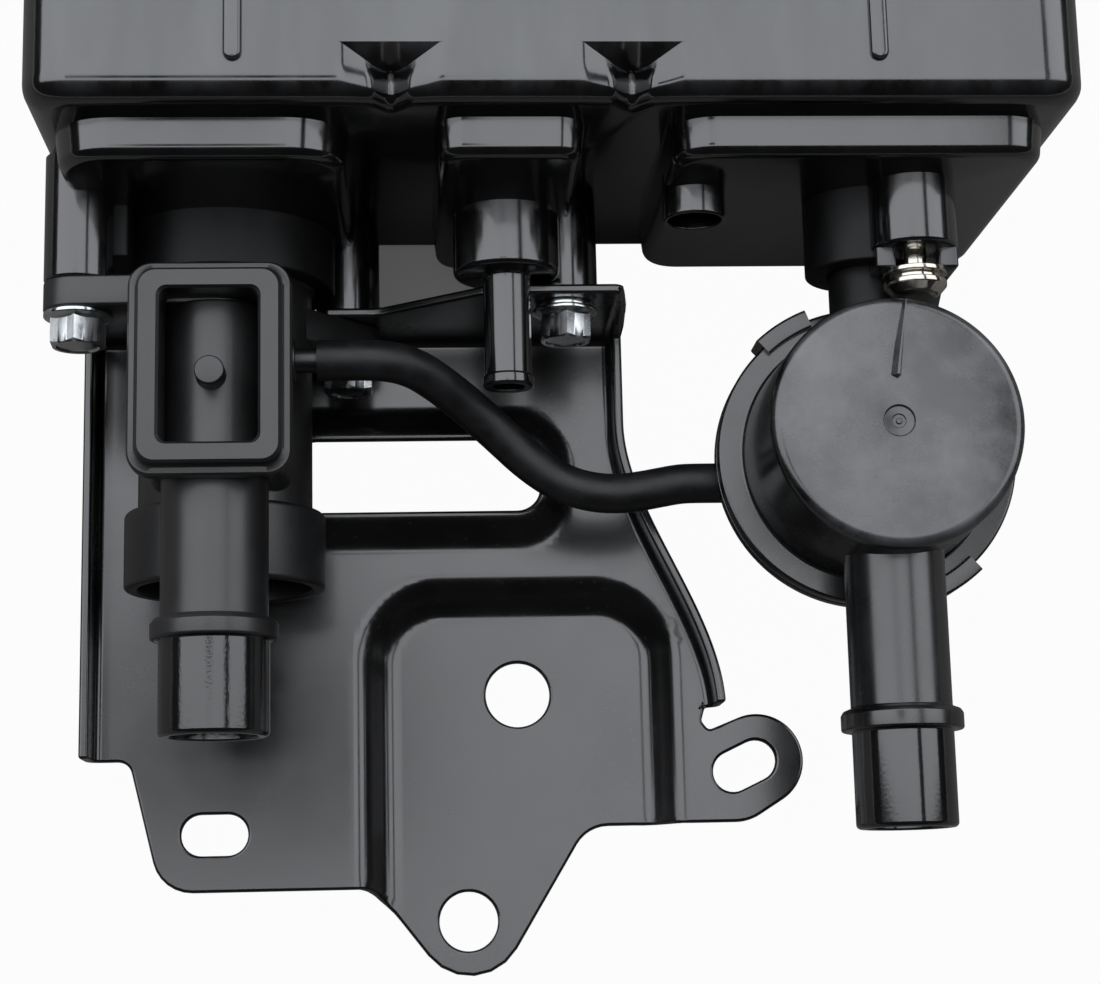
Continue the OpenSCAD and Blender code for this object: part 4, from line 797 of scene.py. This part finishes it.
def flange_bolt(at, face):
    """Flange, hexagon and shank of one bolt whose flange bears on a face."""
    flange = turned([(0, face, 0), (6.75, face, 0.3), (6.75, face - 0.9, 0.4), (5.2, face - 1.8, 0.4),
                     (0, face - 1.8, 0)], at, "y", 64)
    shank = turned([(0, face + 14, 0), (2.9, face + 14, 0.5), (2.9, face - 0.5, 0), (0, face - 0.5, 0)],
                   at, "y", 40)
    return [flange, hex_head(at, face - 1.2, face - 6.8), shank]


zinc = finish("zinc_plate", (0.62, 0.64, 0.65), (0.86, 0.88, 0.88), 0.17, spread=0.06, patch=220, grain=2600,
              bump=0.02, metal=1.0)
piece("vent_bolt_pair", flange_bolt(boss_left, ear_face) + flange_bolt(boss_right, ear_face), zinc,
      ("vent_bolts",))
piece("bracket_bolt_head", flange_bolt(boss_bracket, washer_face), zinc, ("bracket_bolt",))
washer = ring([(3.3, -23.5, 0), (6.15, -23.5, 0.2), (6.15, washer_face, 0.2), (3.3, washer_face, 0)],
              boss_bracket, "y", 64)
piece("bracket_washer_ring", [washer], zinc, ("bracket_washer",))

# Screw with its two washers: bright nickel-plated steel, a domed head on a split washer
# and a flat washer, pulled up against the yoke.
screw_at = (screw_x, screw_z)
head = turned([(0, -27.2, 0), (6.2, -27.2, 0.3), (6.2, -28.3, 0.6), (4.6, -30.1, 1.6), (0, -30.5, 0)],
              screw_at, "y", 72)
screw_shank = turned([(0, -12, 0), (2.4, -12, 0.4), (2.4, -27.5, 0), (0, -27.5, 0)], screw_at, "y", 40)
flat_ring = ring([(2.7, -25, 0), (6.3, -25, 0.2), (6.3, -26, 0.2), (2.7, -26, 0)], screw_at, "y", 72)
split_section = rounded([(2.7, -26.02, 0), (5.0, -26.02, 0.15), (5.0, -27.2, 0.15), (2.7, -27.2, 0)], 3)
split_ring = closed_sweep(lathe(split_section, screw_at, "y", 60, 8, 346))
nickel = finish("nickel_plate", (0.66, 0.62, 0.54), (0.84, 0.80, 0.72), 0.14, spread=0.05, patch=260,
                grain=2600, bump=0.03, metal=1.0)
piece("valve_screw_head", [head, screw_shank], nickel, ("valve_screw",))
piece("flat_washer_ring", [flat_ring], nickel, ("flat_washer",))
piece("spring_washer_ring", [split_ring], nickel, ("spring_washer",))

# Inside pieces: they keep their solids and only get their finishes.
# Charcoal beds between felts, retainer plates and springs, and the working parts of both valves.
inner = {
    "carbon": finish("carbon", (0.010, 0.010, 0.010), (0.045, 0.045, 0.045), 0.85, patch=500, grain=700,
                     bump=0.9, specular=0.3),
    "felt": finish("felt", (0.55, 0.53, 0.48), (0.78, 0.76, 0.71), 0.95, spread=0.03, patch=300, grain=1500,
                   bump=0.6, specular=0.2),
    "inner_plastic": finish("inner_plastic", (0.05, 0.05, 0.052), (0.09, 0.09, 0.095), 0.5, patch=60,
                            grain=1500, bump=0.06),
    "spring_steel": finish("spring_steel", (0.42, 0.42, 0.44), (0.62, 0.62, 0.64), 0.28, patch=200,
                           grain=2000, bump=0.05, metal=1.0),
    "foam": finish("foam", (0.02, 0.02, 0.02), (0.07, 0.07, 0.07), 0.95, spread=0.03, patch=900, grain=1100,
                   bump=1.0, specular=0.2),
    "poppet_plastic": finish("poppet_plastic", (0.60, 0.57, 0.48), (0.74, 0.71, 0.62), 0.4, patch=60,
                             grain=1500, bump=0.04),
    "seal_rubber": finish("seal_rubber", (0.010, 0.010, 0.010), (0.022, 0.022, 0.022), 0.55, patch=150,
                          grain=1800, bump=0.08),
    "insert_brass": finish("insert_brass", (0.56, 0.40, 0.17), (0.74, 0.56, 0.28), 0.3, patch=250,
                           grain=2000, bump=0.05, metal=1.0)}
for part in frame["record"]["subparts"]:
    if part["material_slot"] in inner:
        for place in frame["nodes"][part["node"]].material_slots:
            place.material = inner[part["material_slot"]] if part["node"] != "screw_insert" else nickel

# Valve springs: hard-drawn steel wire in five open coils, one behind the poppet of the vent valve
# and one under the cup of the diaphragm valve.


def coil(at, axis, r, wire, start, stop, turns=5):
    """Wound wire: a small circle carried round the axis while it climbs from start to stop, closed at
    both ends."""
    t = np.linspace(0, 2 * np.pi * turns, 40 * turns + 1)[:, None]
    a = np.linspace(0, 2 * np.pi, 12, endpoint=False)[None, :]
    out = r + wire * np.cos(a)
    climb = start + (stop - start) * t / t[-1] + wire * np.sin(a)
    p, q = at[0] + out * np.cos(t), at[1] + out * np.sin(t)
    grid = np.stack({"y": (p, climb, q), "z": (p, q, climb)}[axis], axis=2)
    return closed_sweep(grid)


poppet_back, guide_face, poppet_travel = -43.5, -31.0, 4.0
vent_wire = coil(vent_at, "y", 4.6, 0.5, poppet_back + 0.6, guide_face - 0.6)
vent_spring = piece("vent_spring_coil", [vent_wire], inner["spring_steel"], ("vent_spring",))
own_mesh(vent_spring)
cup_face, bowl_floor, diaphragm_travel = 40.0, 23.5, 3.0
round_wire = coil(valve_at, "z", 9.0, 0.7, bowl_floor + 0.8, cup_face - 0.8)
diaphragm_spring = piece("diaphragm_spring_coil", [round_wire], inner["spring_steel"],
                         ("diaphragm_spring",))
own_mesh(diaphragm_spring)

# Studio: a pale floor, white to the camera except in the deep shade between body, vent valve and bracket,
# and white in far reflections. A large soft lamp hangs overhead in two halves with a gap between them,
# with a dark card under it that only mirrors in gloss, and the surroundings are dim.
floor_mesh = bpy.data.meshes.new("floor")
floor_mesh.from_pydata([(-6, -6, 0), (6, -6, 0), (6, 6, 0), (-6, 6, 0)], [], [(0, 1, 2, 3)])
floor = bpy.data.objects.new("floor", floor_mesh)
bpy.context.scene.collection.objects.link(floor)
paper = bpy.data.materials.new("paper")
paper.use_nodes = True
tree = paper.node_tree
nodes, links = tree.nodes, tree.links
paper_shader = nodes["Principled BSDF"]
paper_shader.inputs["Base Color"].default_value = (0.17, 0.16, 0.155, 1)
paper_shader.inputs["Roughness"].default_value = 0.9
white = nodes.new("ShaderNodeEmission")
path = nodes.new("ShaderNodeLightPath")
seen = combined(tree, "MAXIMUM", path.outputs["Is Camera Ray"], path.outputs["Is Transmission Ray"])
floor_place = nodes.new("ShaderNodeTexCoord")
to_shade = nodes.new("ShaderNodeMapping")
to_shade.vector_type = "TEXTURE"
to_shade.inputs["Location"].default_value = (-0.0235, -0.023, 0.0)
to_shade.inputs["Scale"].default_value = (0.030, 0.026, 1.0)
links.new(floor_place.outputs["Object"], to_shade.inputs["Vector"])
deep = nodes.new("ShaderNodeTexGradient")
deep.gradient_type = "SPHERICAL"
links.new(to_shade.outputs["Vector"], deep.inputs["Vector"])
in_open = in_range(tree, deep.outputs["Fac"], 0.25, 0.0, 0.07, 0.97)
away = nodes.new("ShaderNodeVectorMath")
away.operation = "LENGTH"
links.new(floor_place.outputs["Object"], away.inputs[0])
far = in_range(tree, away.outputs["Value"], 2.0, 4.0)
mirrored = combined(tree, "MULTIPLY", path.outputs["Is Glossy Ray"], far)
shown = combined(tree, "MAXIMUM", combined(tree, "MULTIPLY", seen, in_open), mirrored)
blend = nodes.new("ShaderNodeMixShader")
links.new(shown, blend.inputs["Fac"])
links.new(paper_shader.outputs["BSDF"], blend.inputs[1])
links.new(white.outputs["Emission"], blend.inputs[2])
links.new(blend.outputs["Shader"], nodes["Material Output"].inputs["Surface"])
floor_mesh.materials.append(paper)

world = bpy.data.worlds.new("studio")
world.use_nodes = True
world.node_tree.nodes["Background"].inputs["Color"].default_value = (0.02, 0.02, 0.02, 1)
world.node_tree.nodes["Background"].inputs["Strength"].default_value = 1.0
bpy.context.scene.world = world


def soft_lamp(name, place, size, power):
    """Rectangular soft lamp that faces straight down."""
    lamp = bpy.data.lights.new(name, "AREA")
    lamp.shape = "RECTANGLE"
    lamp.size, lamp.size_y = size
    lamp.energy = power
    lamp.color = (0.92, 0.955, 1.0)
    stand = bpy.data.objects.new(name, lamp)
    stand.location = place
    bpy.context.scene.collection.objects.link(stand)


soft_lamp("lamp_left", (-1.00, 0.66, 1.0), (2.82, 1.88), 28.0)
soft_lamp("lamp_right", (1.60, 0.66, 1.0), (2.02, 1.88), 20.0)

card_mesh = bpy.data.meshes.new("dark_card")
card_corners = [(-0.23, -0.11, 0.9), (-0.04, -0.11, 0.9), (-0.04, 0.02, 0.9), (-0.23, 0.02, 0.9)]
card_mesh.from_pydata(card_corners, [], [(0, 3, 2, 1)])
card_black = bpy.data.materials.new("card_black")
card_black.use_nodes = True
card_shader = card_black.node_tree.nodes["Principled BSDF"]
card_shader.inputs["Base Color"].default_value = (0.01, 0.01, 0.01, 1)
card_shader.inputs["Roughness"].default_value = 0.9
card_mesh.materials.append(card_black)
card = bpy.data.objects.new("dark_card", card_mesh)
bpy.context.scene.collection.objects.link(card)
card.visible_camera = False
card.visible_diffuse = False
card.visible_shadow = False
